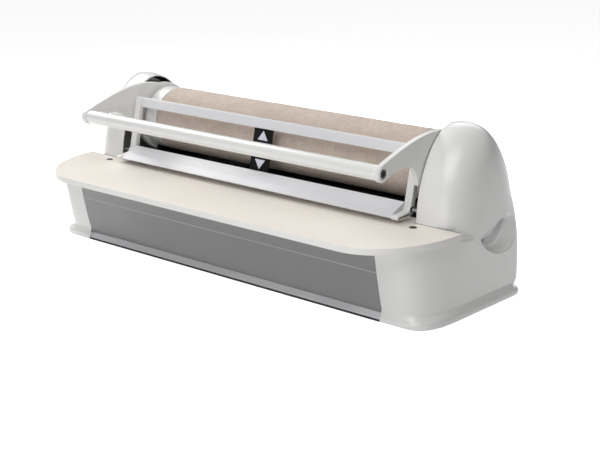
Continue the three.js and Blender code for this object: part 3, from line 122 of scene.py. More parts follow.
GRIP_OFFSET = np.array([-270.0, 37.0])
GRIP_Y, GRIP_Z = GRIP_OFFSET + (ROLLER_Y, ROLLER_Z)
ARM_INNER_X, ARM_OUTER_X = 485.0, 499.0
ARM_DISC, ARM_HUB, ARM_SHAFT_HOLE = 95.0, 20.0, 20.0
GRIP_RADIUS, GRIP_BORE = 17.5, 12.0

# the trough, about the roller's axis
TROUGH_HALF = 475.0
TROUGH_PIVOT = np.array([96.0, -43.0])
TROUGH_RATIO, TROUGH_OPEN = 0.2, 4.0
CAM_PIN = np.array([14.0, -74.5])
CAM_SLOT_HALF = 5.6
SHOE_INNER, SHOE_OUTER = 88.5, 98.5

GUARD_HALF, GUARD_FLANGE_X, BRACKET_X = 459.0, (457.0, 458.6), (459.3, 480.0)
GUARD_PIVOT = (-5.0, 231.0)

KNOB_Y, CONTROL_Z = 60.0, 100.0
TICKS, TICK_HALF, TICK_X = 11, 0.7, (-622.5, -621.5)
TICK_START, TICK_END, LONG_TICK_END = 24.0, 28.0, 31.0


def front_y(z):
    """Y of the leaning front: 34 mm further forward at 142 mm above its foot, power 0.8."""
    return FRONT_FOOT_Y - FRONT_REACH * (np.maximum(z - FRONT_FOOT_Z, 0.0) / FRONT_RISE) ** 0.8


def smooth(x, low=0.0, high=1.0):
    """3t^2 - 2t^3 of the share t of x between low and high, held at 0 and 1 outside."""
    t = np.clip((x - low) / (high - low), 0.0, 1.0)
    return t * t * (3.0 - 2.0 * t)


# ---------------------------------------------------------- shader nodes ----


def feed(tree, socket, value):
    """Links an output to the input socket, or sets the input to a number, vector or colour."""
    if isinstance(value, bpy.types.NodeSocket):
        tree.links.new(value, socket)
    elif isinstance(value, tuple):
        opaque = (1.0,) * (len(socket.default_value) - len(value))
        socket.default_value = value + opaque
    else:
        socket.default_value = value


def fed(tree, made, **values):
    """The node with its properties set or its inputs fed; _ stands for a space."""
    for key, value in values.items():
        if hasattr(made, key):
            setattr(made, key, value)
        else:
            feed(tree, made.inputs[key.replace("_", " ")], value)
    return made


def node(tree, kind, **values):
    """A new node of that kind, fed with the values."""
    return fed(tree, tree.nodes.new(kind), **values)


def maths(tree, operation, *values, clamp=False):
    """Result of a Math node of sockets and numbers."""
    made = node(tree, "ShaderNodeMath", operation=operation, use_clamp=clamp)
    for socket, value in zip(made.inputs, values):
        feed(tree, socket, value)
    return made.outputs[0]


def noise(tree, vector, scale, detail, roughness=0.5):
    """Factor of a noise texture; the scale is a number or a socket."""
    return node(tree, "ShaderNodeTexNoise", Vector=vector, Scale=scale, Detail=detail,
                Roughness=roughness).outputs["Fac"]


def ranged(tree, value, low, high, to_low=0.0, to_high=1.0):
    """The value with low to high carried to to_low to to_high, held at both ends."""
    return node(tree, "ShaderNodeMapRange", Value=value, From_Min=low, From_Max=high,
                To_Min=to_low, To_Max=to_high).outputs["Result"]


def blended(tree, mask, first, second):
    """Colour first where the mask is 0, second where it is 1; either may be a socket."""
    mix = node(tree, "ShaderNodeMix", data_type="RGBA")
    for place, value in ((0, mask), (6, first), (7, second)):
        feed(tree, mix.inputs[place], value)
    return mix.outputs[2]


def group(name, outputs, **inputs):
    """A shader node group with a Vector and named number inputs and named value outputs."""
    tree = bpy.data.node_groups.new(name, "ShaderNodeTree")
    tree.interface.new_socket("Vector", in_out="INPUT", socket_type="NodeSocketVector")
    for label, value in inputs.items():
        socket = tree.interface.new_socket(label.replace("_", " "), in_out="INPUT",
                                           socket_type="NodeSocketFloat")
        socket.default_value = value
    for label in outputs:
        tree.interface.new_socket(label, in_out="OUTPUT", socket_type="NodeSocketFloat")
    return tree, tree.nodes.new("NodeGroupInput").outputs, tree.nodes.new("NodeGroupOutput")


def grain_group():
    """Fine moulded or sprayed grain: Height is 0.55 of a fine noise and 0.45 of a coarse one
    of 0.12 the scale, Mottle a slow cloudy mask."""
    tree, given, leave = group("fine_grain", ["Height", "Mottle"], Grain_Size=900.0,
                               Cloud_Size=9.0)
    fine = noise(tree, given["Vector"], given["Grain Size"], 2.0, 0.6)
    coarse_scale = maths(tree, "MULTIPLY", given["Grain Size"], 0.12)
    coarse = noise(tree, given["Vector"], coarse_scale, 1.0)
    height = maths(tree, "ADD", maths(tree, "MULTIPLY", fine, 0.55),
                   maths(tree, "MULTIPLY", coarse, 0.45))
    cloud = noise(tree, given["Vector"], given["Cloud Size"], 4.0, 0.55)
    fed(tree, leave, Height=height, Mottle=cloud)
    return tree


def dust_group():
    """Thin dust: it lies where the surface faces up and thins out by a cloudy noise."""
    tree, given, leave = group("settled_dust", ["Mask"], Amount=0.2)
    normal = node(tree, "ShaderNodeNewGeometry").outputs["Normal"]
    upward = node(tree, "ShaderNodeSeparateXYZ", Vector=normal).outputs["Z"]
    cloud = noise(tree, given["Vector"], 26.0, 5.0, 0.65)
    mask = maths(tree, "MULTIPLY", ranged(tree, upward, 0.2, 1.0),
                 ranged(tree, cloud, 0.42, 0.75))
    fed(tree, leave, Mask=maths(tree, "MULTIPLY", mask, given["Amount"], clamp=True))
    return tree


def streak_group():
    """Drawn or brushed streaks along X: noise that is stretched by Stretch along X."""
    tree, given, leave = group("drawn_streaks", ["Streak"], Fineness=500.0, Stretch=0.02)
    split = node(tree, "ShaderNodeSeparateXYZ", Vector=given["Vector"]).outputs
    pulled = maths(tree, "MULTIPLY", split["X"], given["Stretch"])
    joined = node(tree, "ShaderNodeCombineXYZ", X=pulled, Y=split["Y"], Z=split["Z"])
    fed(tree, leave, Streak=noise(tree, joined.outputs["Vector"], given["Fineness"], 3.0, 0.6))
    return tree


def wear_group():
    """Wear at convex edges: the pointiness above a threshold, broken up by a noise."""
    tree, given, leave = group("edge_wear", ["Mask"], Amount=0.3, Break_Up=120.0)
    pointiness = node(tree, "ShaderNodeNewGeometry").outputs["Pointiness"]
    spots = noise(tree, given["Vector"], given["Break Up"], 3.0)
    mask = maths(tree, "MULTIPLY", ranged(tree, pointiness, 0.52, 0.60),
                 ranged(tree, spots, 0.35, 0.65))
    fed(tree, leave, Mask=maths(tree, "MULTIPLY", mask, given["Amount"], clamp=True))
    return tree


GRAIN, DUST, STREAKS, WEAR = grain_group(), dust_group(), streak_group(), wear_group()

# -------------------------------------------------------------- finishes ----

FINISHES = {}
DUST_COLOUR = (0.62, 0.60, 0.56)
GRAIN_DEPTH, WEAVE_DEPTH = 0.0004, 0.0005
COAT_ROUGHNESS = 0.2
THREADS_PER_METRE = 950.0


def new_material(name):
    """A material listed among the finishes, with its node tree and its shader."""
    material = bpy.data.materials.new(name)
    material.use_nodes = True
    FINISHES[name] = material
    return material.node_tree, material.node_tree.nodes["Principled BSDF"]


def finish(name, colour, rough, metal=0.0, vary=0.05, grain=900.0, bump=0.05, cloud=9.0,
           coat=0.0, streak=0.0, dust=0.12, wear=0.0, wear_colour=(0.6, 0.6, 0.6),
           rough_vary=0.08, specular=0.5):
    """A procedural finish: cloudy tone, grain bump, streaks, worn edges and settled dust."""
    tree, shader = new_material(name)
    where = node(tree, "ShaderNodeTexCoord").outputs["Object"]

    def placed(kind, **values):
        """Outputs of a node group that is fed with the object's coordinates."""
        return node(tree, "ShaderNodeGroup", node_tree=kind, Vector=where, **values).outputs

    fine = placed(GRAIN, Grain_Size=grain, Cloud_Size=cloud)
    darker = tuple(c * (1.0 - vary) for c in colour)
    lighter = tuple(min(c * (1.0 + 0.5 * vary), 0.95) for c in colour)
    tone, height = blended(tree, fine["Mottle"], darker, lighter), fine["Height"]
    if streak:
        lines = placed(STREAKS)["Streak"]
        tone = blended(tree, maths(tree, "MULTIPLY", lines, streak, clamp=True), tone,
                       tuple(c * 0.72 for c in colour))
        height = maths(tree, "ADD", height, maths(tree, "MULTIPLY", lines, streak))
    if wear:
        tone = blended(tree, placed(WEAR, Amount=wear)["Mask"], tone, wear_colour)
    if dust:
        tone = blended(tree, placed(DUST, Amount=dust)["Mask"], tone, DUST_COLOUR)
    uneven = ranged(tree, fine["Mottle"], 0.3, 0.7, rough - rough_vary, rough + rough_vary)
    relief = node(tree, "ShaderNodeBump", Height=height, Strength=bump, Distance=GRAIN_DEPTH)
    fed(tree, shader, Base_Color=tone, Roughness=uneven, Normal=relief.outputs["Normal"],
        Metallic=metal, Specular_IOR_Level=specular)
    if coat:
        fed(tree, shader, Coat_Weight=coat, Coat_Roughness=COAT_ROUGHNESS)


def linen_finish():
    """Plain weave in the UV map: two crossed thread waves give bump and tone, slubs vary it; the
    gaps between the threads are darkened as painted shade.
    """
    tree, shader = new_material("linen_weave")
    where = node(tree, "ShaderNodeTexCoord").outputs
    split = node(tree, "ShaderNodeSeparateXYZ", Vector=where["UV"]).outputs
    threads = THREADS_PER_METRE * 2.0 * math.pi
    warp, weft = (maths(tree, "SINE", maths(tree, "MULTIPLY", split[axis], threads))
                  for axis in "XY")
    cross = maths(tree, "MULTIPLY", warp, weft)
    halves = []
    for scale in ((30.0, 900.0, 1.0), (900.0, 30.0, 1.0)):
        drawn = node(tree, "ShaderNodeMapping", Vector=where["UV"], Scale=scale)
        halves.append(maths(tree, "MULTIPLY", noise(tree, drawn.outputs["Vector"], 1.0, 2.0),
                            0.5))
    slubs = maths(tree, "ADD", *halves)
    weave = blended(tree, ranged(tree, slubs, 0.36, 0.64), (0.50, 0.405, 0.345),
                    (0.79, 0.685, 0.605))
    fine = node(tree, "ShaderNodeGroup", node_tree=GRAIN, Vector=where["Object"],
                Grain_Size=420.0, Cloud_Size=14.0)
    cloudy = ranged(tree, fine.outputs["Mottle"], 0.35, 0.7, 0.0, 0.35)
    tone = blended(tree, cloudy, weave, (0.48, 0.39, 0.33))
    # painted shade: the gaps between the threads darkened towards brown
    painted_gap_shade = ranged(tree, cross, -1.0, -0.4, 0.3, 0.0)
    height = maths(tree, "ADD", maths(tree, "MULTIPLY", cross, 0.5),
                   maths(tree, "MULTIPLY", slubs, 1.4))
    relief = node(tree, "ShaderNodeBump", Height=height, Strength=0.45, Distance=WEAVE_DEPTH)
    fed(tree, shader, Base_Color=blended(tree, painted_gap_shade, tone, (0.24, 0.18, 0.14)),
        Normal=relief.outputs["Normal"], Roughness=0.92, Specular_IOR_Level=0.2,
        Sheen_Weight=0.25, Sheen_Roughness=0.5)


finish("moulded_white", (0.84, 0.84, 0.83), 0.32, vary=0.015, grain=1400.0, cloud=4.0,
       coat=0.35, dust=0.03, rough_vary=0.015)
# painted shade: near-black for the inside of the white shells, which only looks dark because it
# lies in shadow
finish("moulded_inside", (0.03, 0.03, 0.032), 0.7, grain=800.0)
finish("cast_white", (0.83, 0.83, 0.82), 0.36, vary=0.03, grain=1600.0, bump=0.09, coat=0.15,
       wear=0.1, dust=0.05, rough_vary=0.03)
finish("enamel_tube", (0.84, 0.84, 0.83), 0.24, vary=0.02, coat=0.5, bump=0.03, dust=0.03,
       rough_vary=0.02)
finish("enamel_sheet", (0.79, 0.795, 0.825), 0.36, vary=0.02, streak=0.12, bump=0.06, coat=0.1,
       dust=0.02, rough_vary=0.02)
finish("rear_enamel", (0.79, 0.80, 0.81), 0.4, bump=0.12, grain=1100.0, wear=0.2)
finish("panel_grey", (0.235, 0.235, 0.243), 0.42, metal=0.12, vary=0.08, grain=2200.0,
       bump=0.10, streak=0.10, dust=0.05, rough_vary=0.05)
# painted highlight: a lighter finish for the panel's groove, standing in for the light its lower
# side catches
finish("groove_painted_highlight", (0.36, 0.365, 0.38), 0.35, metal=0.4, streak=0.2, bump=0.06, dust=0.0)
finish("rail_silver", (0.68, 0.69, 0.715), 0.4, metal=0.3, streak=0.25, bump=0.08, dust=0.08)
finish("laminate_top", (0.93, 0.875, 0.805), 0.38, vary=0.025, grain=1800.0, bump=0.07,
       cloud=5.0, dust=0.0, rough_vary=0.05)
finish("laminate_edge", (0.88, 0.87, 0.845), 0.4, vary=0.02, bump=0.06, dust=0.0)
finish("zinc_plate", (0.40, 0.41, 0.42), 0.48, metal=0.8, vary=0.22, cloud=40.0, bump=0.12,
       wear=0.2, dust=0.25)
finish("bright_steel", (0.60, 0.60, 0.61), 0.28, metal=1.0, vary=0.10, streak=0.15, bump=0.08,
       dust=0.1)
finish("black_sheet", (0.006, 0.006, 0.007), 0.6, vary=0.3, bump=0.15, dust=0.0,
       specular=0.12)
finish("burnished_shoe", (0.045, 0.045, 0.048), 0.35, metal=0.7, vary=0.25, streak=0.3,
       bump=0.1, wear=0.35, wear_colour=(0.3, 0.3, 0.3))
finish("machine_grey", (0.095, 0.105, 0.115), 0.5, metal=0.1, vary=0.12, bump=0.25,
       grain=700.0, wear=0.35, wear_colour=(0.35, 0.36, 0.37), dust=0.3)
finish("grey_plastic", (0.18, 0.185, 0.19), 0.5, bump=0.15)
finish("black_plastic", (0.016, 0.016, 0.017), 0.38, vary=0.2, bump=0.12, grain=1500.0,
       wear=0.15, wear_colour=(0.08, 0.08, 0.08))
finish("black_screw", (0.02, 0.02, 0.021), 0.35, metal=0.6, vary=0.2, bump=0.15, wear=0.4,
       wear_colour=(0.25, 0.25, 0.25), dust=0.05)
finish("foot_rubber", (0.02, 0.02, 0.02), 0.8, vary=0.25, bump=0.4, grain=500.0, dust=0.35)
finish("arrow_white", (0.70, 0.70, 0.80), 0.45, vary=0.04, dust=0.0)
finish("dial_grey", (0.20, 0.20, 0.21), 0.5, dust=0.0)
linen_finish()

# ----------------------------------------------------------- mesh makers ----

WELD = 0.002


def measured(items, field):
    """One three-part field of all the vertices or faces, as rows."""
    flat = np.zeros(len(items) * 3)
    items.foreach_get(field, flat)
    return flat.reshape(-1, 3)


def raw_mesh(points, faces):
    """A mesh from millimetre points and faces, just as they are."""
    mesh = bpy.data.meshes.new("mesh")
    mesh.from_pydata((np.reshape(points, (-1, 3)) * MM).tolist(), [], faces)
    return mesh


def mended(mesh, weld=WELD, slivers=False, flat=0.0, outward=True):
    """The mesh, its doubles merged; then zero faces go, faces within `flat` degrees of one
    plane are joined, and all faces are turned to point outwards."""
    shape = bmesh.new()
    shape.from_mesh(mesh)
    bmesh.ops.remove_doubles(shape, verts=shape.verts, dist=weld * MM)
    if slivers:
        bmesh.ops.dissolve_degenerate(shape, edges=shape.edges, dist=1e-7)
    if flat:
        bmesh.ops.dissolve_limit(shape, angle_limit=math.radians(flat), verts=shape.verts,
                                 edges=shape.edges)
    if outward:
        bmesh.ops.recalc_face_normals(shape, faces=shape.faces)
    shape.to_mesh(mesh)
    shape.free()
    return mesh


def quads(rows, columns, wrap=False):
    """Faces of a rows x columns grid, the column direction first; wrap joins its two ends."""
    i = np.arange(rows - 1)[:, None]
    j = np.arange(columns if wrap else columns - 1)[None, :]
    k = (j + 1) % columns
    return np.stack([i * columns + j, i * columns + k, (i + 1) * columns + k,
                     (i + 1) * columns + j], -1).reshape(-1, 4).tolist()


def rounded(points, radius, steps):
    """Each corner of a closed outline replaced by a curve that leaves its two edges at
    `radius` from the corner, or at 45% of a shorter edge: (1-t)^2 A + 2t(1-t) P + t^2 B."""
    p = np.asarray(points, float)
    before, after = np.roll(p, 1, 0) - p, np.roll(p, -1, 0) - p
    lb = np.linalg.norm(before, axis=1, keepdims=True)
    la = np.linalg.norm(after, axis=1, keepdims=True)
    reach = np.minimum(np.broadcast_to(np.reshape(radius, (-1, 1)), lb.shape),
                       0.45 * np.minimum(lb, la))
    a, b = p + before / lb * reach, p + after / la * reach
    t = np.linspace(0.0, 1.0, steps)[None, :, None]
    curve = (1 - t) ** 2 * a[:, None] + 2 * t * (1 - t) * p[:, None] + t ** 2 * b[:, None]
    return curve.reshape(-1, 2)


def anticlockwise(outline):
    """The outline in the direction in which its shoelace area is positive."""
    u, v = outline[:, 0], outline[:, 1]
    area = np.sum(u * np.roll(v, -1) - np.roll(u, -1) * v)
    return outline if area > 0 else outline[::-1]


def inset(outline, amount):
    """The outline moved inwards by `amount` along its mitred corner normals."""
    edge = np.roll(outline, -1, 0) - outline
    edge = edge / np.maximum(np.linalg.norm(edge, axis=1, keepdims=True), 1e-9)
    normal = np.stack([-edge[:, 1], edge[:, 0]], 1)
    both = normal + np.roll(normal, 1, 0)
    length = np.maximum(np.sum(both * both, 1, keepdims=True), 0.5)
    return outline + both * 2.0 / length * amount


def capped(points):
    """A mesh of rings, rows x columns x 3, whose first and last ring are filled."""
    rows, columns = points.shape[:2]
    first = np.arange(columns)
    ends = [first[::-1].tolist(), (first + (rows - 1) * columns).tolist()]
    return mended(raw_mesh(points, quads(rows, columns, wrap=True) + ends), slivers=True,
                  outward=False)


def carried(profile, x0, x1, edge):
    """A closed (y, z) profile carried along X from x0 to x1, its ends closed; a quarter round
    of radius `edge` runs round each end: x = edge (1 - cos a), inset = edge (1 - sin a)."""
    profile = anticlockwise(np.asarray(profile, float))
    a = np.linspace(0.0, math.pi / 2, 4)
    x = np.concatenate([x0 + edge * (1 - np.cos(a)), x1 - edge * (1 - np.cos(a[::-1]))])
    inward = np.concatenate([edge * (1 - np.sin(a)), edge * (1 - np.sin(a[::-1]))])
    rings = np.stack([inset(profile, amount) for amount in inward])
    return capped(np.concatenate([np.broadcast_to(x[:, None, None], (*rings.shape[:2], 1)),
                                  rings], 2))


def turned(profile, y, z, segments, closed=False):
    """A profile of (x, radius) turned about the line through (y, z) along X:
    y + r cos a, z + r sin a; closed joins the profile's last point to its first."""
    x, r = np.asarray(profile, float).T
    if closed:
        x, r = np.append(x, x[0]), np.append(r, r[0])
    a = np.linspace(0.0, 2 * math.pi, segments, endpoint=False)
    points = np.stack([np.broadcast_to(x[:, None], (len(x), segments)),
                       y + r[:, None] * np.cos(a), z + r[:, None] * np.sin(a)], 2)
    return mended(raw_mesh(points, quads(len(x), segments, wrap=True)), slivers=True)


def slab(outlines, low, high, edge, axis="x", rounds=3):
    """A filled flat curve, outline first and its openings after it, given the thickness from
    low to high with rounded rims; axis x stands (u, v) up as (y, z), axis z lays it down."""
    curve = bpy.data.curves.new("flat_curve", "CURVE")
    curve.dimensions = "2D"
    curve.fill_mode = "BOTH"
    for outline in outlines:
        spline = curve.splines.new("POLY")
        spline.points.add(len(outline) - 1)
        flat = np.ones((len(outline), 4))
        flat[:, :2] = np.asarray(outline) * MM
        flat[:, 2] = 0.0
        spline.points.foreach_set("co", flat.ravel())
        spline.use_cyclic_u = True
    curve.extrude = (high - low) / 2 * MM - edge * MM
    curve.bevel_depth = edge * MM
    curve.bevel_resolution = rounds
    curve.offset = -edge * MM
    holder = linked("flat_curve", curve)
    bpy.context.view_layer.update()
    mesh = bpy.data.meshes.new_from_object(holder.evaluated_get(
        bpy.context.evaluated_depsgraph_get()))
    bpy.data.objects.remove(holder)
    u, v, w = measured(mesh.vertices, "co").T
    w = w + (low + high) / 2 * MM
    placed = np.stack([w, u, v] if axis == "x" else [u, v, w], 1)
    mesh.vertices.foreach_set("co", placed.ravel())
    mesh.materials.clear()
    return mended(mesh)


def mirrored(mesh):
    """The same mesh on the other side of the machine, its faces turned back outwards."""
    other = mesh.copy()
    place = measured(other.vertices, "co") * (-1.0, 1.0, 1.0)
    other.vertices.foreach_set("co", place.ravel())
    other.flip_normals()
    return other


def polar(radius, degrees):
    """(r cos a, r sin a) for one angle or an array of them."""
    a = np.radians(degrees)
    return radius * np.stack([np.cos(a), np.sin(a)], -1)


def arc(u, v, radius, start, end, count):
    """A circular arc about (u, v) from angle start to end, in degrees."""
    return (u, v) + polar(radius, np.linspace(start, end, count))


def circle(u, v, radius, count=48):
    """(u + r cos a, v + r sin a) at `count` even angles."""
    return arc(u, v, radius, 0.0, 360.0, count + 1)[:-1]


def bezier(*points, count):
    """Bezier curve: the sum of C(n, k) (1-t)^(n-k) t^k times the point k."""
    t = np.linspace(0.0, 1.0, count)[:, None]
    n = len(points) - 1
    return sum(math.comb(n, k) * (1 - t) ** (n - k) * t ** k * np.asarray(point, float)
               for k, point in enumerate(points))


def turned_by(points, degrees):
    """Points (u, v) turned about the origin, by one angle or by an array of them."""
    u, v = np.moveaxis(np.asarray(points, float), -1, 0)
    c, s = np.cos(np.radians(degrees)), np.sin(np.radians(degrees))
    return np.stack([u * c - v * s, u * s + v * c], -1)


def piece(name, mesh, body, slot, *finishes, sharp=35.0, stands_for=()):
    """Makes the object, smooth but for edges sharper than `sharp`, and hands it to its body."""
    mesh.name = name
    for label in finishes:
        mesh.materials.append(FINISHES[label])
    mesh.shade_smooth()
    mesh.set_sharp_from_angle(angle=math.radians(sharp))
    obj = linked(name, mesh)
    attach(obj, body)
    if stands_for:
        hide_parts(*stands_for)
    return obj


def pair(label, mesh, body, slot, *finishes, sharp=35.0, stands_for=None):
    """The piece right_LABEL and its mirror image left_LABEL, each in the place of its own
    side's CAD node."""
    return [piece(f"{side}_{label}", shape, body, slot, *finishes, sharp=sharp,
                  stands_for=[f"{side}_{stands_for}"] if stands_for else ())
            for side, shape in (("right", mesh), ("left", mirrored(mesh)))]


def second_finish(mesh, chosen):
    """Gives the mesh's second finish to the chosen faces."""
    mesh.polygons.foreach_set("material_index", chosen.astype(np.int32))


def faces_between(mesh, low, high):
    """The faces whose centre lies between two heights."""
    height = measured(mesh.polygons, "center")[:, 2] / MM
    return (height > low) & (height < high)


# --------------------------------------------------------- lifting hollow ----

# its outline on the casing's side, the deep bowl inside it, and the bowl's upper edge, (y, z)
HOLLOW_RIM = [(203, 204), (184, 205), (160, 202), (131, 196), (101, 187), (80, 179), (71, 172),
              (80, 156), (104, 136), (135, 122), (165, 117), (195, 121), (214, 134), (222, 152),
              (222, 172), (214, 192)]
HOLLOW_BOWL = [(182, 200), (160, 198), (131, 192), (103, 183), (86, 175), (80, 166), (82, 156),
               (91, 148), (123, 143), (147, 150), (165, 167), (175, 182), (181, 193)]
BOWL_TOP = np.array([(80, 172), (103, 183), (131, 192), (160, 198), (182, 200)], float)
RIM_STEP, LIP_FALL, BOWL_FALL = 1.4, 8.0, 7.0


def closed_spline(points):
    """Closed Catmull-Rom curve through the points, ten steps to a span."""
    p = np.asarray(points, float)[:, None]
    p0, p2, p3 = np.roll(p, 1, 0), np.roll(p, -1, 0), np.roll(p, -2, 0)
    t = np.linspace(0.0, 1.0, 10, endpoint=False)[None, :, None]
    curve = 0.5 * (2 * p + (p2 - p0) * t + (2 * p0 - 5 * p + 4 * p2 - p3) * t ** 2
                   + (3 * p - p0 - 3 * p2 + p3) * t ** 3)
    return curve.reshape(-1, 2)


def inside_distance(points, outline):
    """Distance of points from a closed outline, positive inside and negative outside: the
    nearest edge gives its size, the parity of the edges crossed along +u its sign."""
    a, b = outline[None], np.roll(outline, -1, 0)[None]
    q = points[:, None]
    along = np.clip(np.sum((q - a) * (b - a), 2) / np.sum((b - a) ** 2, 2), 0, 1)
    near = np.min(np.linalg.norm(q - a - (b - a) * along[..., None], axis=2), axis=1)
    crosses = (a[..., 1] <= q[..., 1]) == (b[..., 1] > q[..., 1])
    rise = np.where(np.abs(b[..., 1] - a[..., 1]) < 1e-9, 1e-9, b[..., 1] - a[..., 1])
    at = a[..., 0] + (q[..., 1] - a[..., 1]) / rise * (b[..., 0] - a[..., 0])
    inside = np.sum(crosses & (at > q[..., 0]), axis=1) % 2 == 1
    return np.where(inside, near, -near)


def hollow_depth(y, z):
    """Depth of the lifting hollow: 1.4 mm fall at once at the rim, then a soft lip falls 8 mm to
    the bowl's edge, and from there the bowl falls 7 mm more, 1 - exp(-(d / w)^1.3) with the
    distance d inwards and w growing from 3.5 mm under the upper edge to 17 mm low down."""
    near = (y > 62) & (y < 232) & (z > 108) & (z < 212)  # the rest is outside the rim
    depth = np.zeros_like(y)
    q = np.stack([y[near], z[near]], 1)
    rim = inside_distance(q, closed_spline(HOLLOW_RIM))
    bowl = inside_distance(q, closed_spline(HOLLOW_BOWL))
    inner = np.maximum(rim, 0.0)
    share = inner / (inner + np.maximum(-bowl, 0.0) + 1e-6)
    lip = RIM_STEP * (1.0 - np.exp(-inner / 1.6)) + LIP_FALL * smooth(share) ** 0.9
    width = 3.5 + 13.5 * smooth(np.interp(q[:, 0], *BOWL_TOP.T) - q[:, 1], 4.0, 30.0)
    fall = BOWL_FALL * (1.0 - np.exp(-(np.maximum(bowl, 0.0) / width) ** 1.3))
    depth[near] = np.where(rim > 0, lip + fall, 0.0)
    return depth


# ---------------------------------------------------------------- casings ----

# The right casing's skin is a grid. Its columns go from the front rim along the straight front,
# round the corner, along the side, round the back corner and along the back to the back rim.
RIM_TURN = np.radians(np.linspace(0, 90, 5))
FLANK = np.linspace(CASING_INNER_X + DOME_RIM, DOME_X, 9)
TO_CORNER = np.linspace(DOME_X, FRONT_CORNER_X, 6)[1:]
CORNER_TURN = np.radians(np.linspace(-90, 0, 52))[1:]
ALONG_SIDE = np.concatenate([np.linspace(0, 0.26, 16)[1:], np.linspace(0.26, 1, 112)[1:]])
BACK_TURN = np.radians(np.linspace(0, 90, 28))[1:]
TO_FLANK = np.linspace(0, 1, 8)[1:]
FLANK_COLUMNS = len(RIM_TURN) + len(FLANK) - 1


def back_radius(z):
    """Radius of the back corner: 44 at the lip, 60 in the neck over it, 32 from 37 mm up."""
    neck = (NECK_BACK_RADIUS - FOOT_BACK_RADIUS) * smooth(z, 8.0, 17.0)
    return FOOT_BACK_RADIUS + neck + (BACK_RADIUS - NECK_BACK_RADIUS) * smooth(z, 19.0, 37.0)


def body_plan(z, grow=0.0, power=CORNER_POWER):
    """Plan of the body at the heights z, shaped rows x 1: the leaning front, a superellipse
    corner |dx|^p + |dy|^p = 1, the side, a round back corner and the back, all of it moved
    outwards by `grow`, and a quarter round at both rims."""
    front, radius = front_y(z), back_radius(z)
    grow = grow * np.ones_like(front)
    turn_x, turn_y = CASING_SIDE_X - radius, CASING_BACK_Y - radius
    side_x = CASING_SIDE_X + grow
    rx, ry = side_x - FRONT_CORNER_X, FRONT_CORNER_Y - front + grow
    c, s = np.cos(CORNER_TURN), np.abs(np.sin(CORNER_TURN))
    back_y = CASING_BACK_Y + np.minimum(grow, BACK_SKIRT_OUT)
    one = np.ones_like(front)
    rim_x = one * (CASING_INNER_X + CASING_RIM * (1 - np.cos(RIM_TURN)))
    rim_y = CASING_RIM * (1 - np.sin(RIM_TURN))
    straight_back = len(TO_FLANK) + len(FLANK) - 2
    x = [rim_x, one * FLANK[1:], one * TO_CORNER,
         FRONT_CORNER_X + rx * c ** (2 / power), side_x * np.ones(len(ALONG_SIDE)),
         turn_x + (radius + grow) * np.cos(BACK_TURN), turn_x + (DOME_X - turn_x) * TO_FLANK,
         one * FLANK[::-1][1:-1], rim_x[:, ::-1]]
    y = [front - grow + rim_y, (front - grow) * np.ones(len(FLANK) - 1 + len(TO_CORNER)),
         FRONT_CORNER_Y - ry * s ** (2 / power),
         FRONT_CORNER_Y + (turn_y - FRONT_CORNER_Y) * ALONG_SIDE,
         turn_y + (back_y - turn_y) * np.sin(BACK_TURN), back_y * np.ones(straight_back),
         back_y - rim_y[::-1]]
    return np.concatenate(x, 1), np.concatenate(y, 1)


BODY_X, BODY_Y = body_plan(np.array([[SHOULDER_FRONT_Z]]))


def dome_plan(t):
    """Plan of the dome at the shares t of its height, shaped rows x 1: |dx / W|^p + |dy / D|^p
    = 1 with W = w (1 - t^4.7)^(1/2.7), D = d (1 - t^1.9)^(1/1.85) and p = 3.2 - 1.7 t. Each
    column looks from the dome's middle to where it stands on the body's plan; the flanks run
    straight from the middle to the open rim, which is rounded."""
    width = DOME_WIDTH * np.maximum(1 - t ** 4.7, 0) ** (1 / 2.7)
    depth = DOME_DEPTH * np.maximum(1 - t ** 1.9, 0) ** (1 / 1.85)
    power = 3.2 - 1.7 * t
    slope = (BODY_Y[0] - DOME_Y) / np.maximum(BODY_X[0] - DOME_X, 1e-6)
    angle = np.arctan(np.sign(slope) * (np.abs(slope) * DOME_WIDTH / DOME_DEPTH) ** 1.6)
    c, s = np.cos(angle), np.sin(angle)
    x = DOME_X + width * np.abs(c) ** (2 / power)
    y = DOME_Y + depth * np.sign(s) * np.abs(s) ** (2 / power)
    rim = np.minimum(DOME_RIM, 0.9 * depth)
    straight = np.ones_like(t) * FLANK[1:]
    flank_x = np.concatenate([CASING_INNER_X + rim * (1 - np.cos(RIM_TURN)), straight], 1)
    fall = np.concatenate([rim * (1 - np.sin(RIM_TURN)), np.zeros_like(straight)], 1)
    x[:, :FLANK_COLUMNS], x[:, -FLANK_COLUMNS:] = flank_x, flank_x[:, ::-1]
    y[:, :FLANK_COLUMNS] = DOME_Y - depth + fall
    y[:, -FLANK_COLUMNS:] = (DOME_Y + depth - fall)[:, ::-1]
    return x, y


# For each column: the dome's foot, the way to it, the shoulder's height, how far the shoulder
# rolls down, and how much the column flows into the dome instead of making a ledge.
FOOT_X, FOOT_Y = dome_plan(np.zeros((1, 1)))
FOOT_GAP = np.hypot(FOOT_X - BODY_X, FOOT_Y - BODY_Y)
TOWARD_X = (FOOT_X - BODY_X) / np.maximum(FOOT_GAP, 1e-6)
TOWARD_Y = (FOOT_Y - BODY_Y) / np.maximum(FOOT_GAP, 1e-6)
SHOULDER_Z = np.interp(BODY_Y, [-25, 5, 35, 65, 120, 257], [189.3, 185, 180, 176, 177, 186])
ROLL_DOWN = np.interp(BODY_Y, [-25, 15], [1.5, 9.0])
FLOWS = smooth(FOOT_Y, 20.0, 75.0)


def toward_dome(z):
    """Share of the dome's plan in the flowing part of the skin: (3u^2 - 2u^3)^6.17 at the share
    u of the height between -113 and 266 mm."""
    return smooth(z, -112.8, 266.5) ** 6.17


def stacked(x, y, z):
    """Rows x columns of points from arrays of any matching shapes."""
    return np.stack(np.broadcast_arrays(x, y, z), 2)


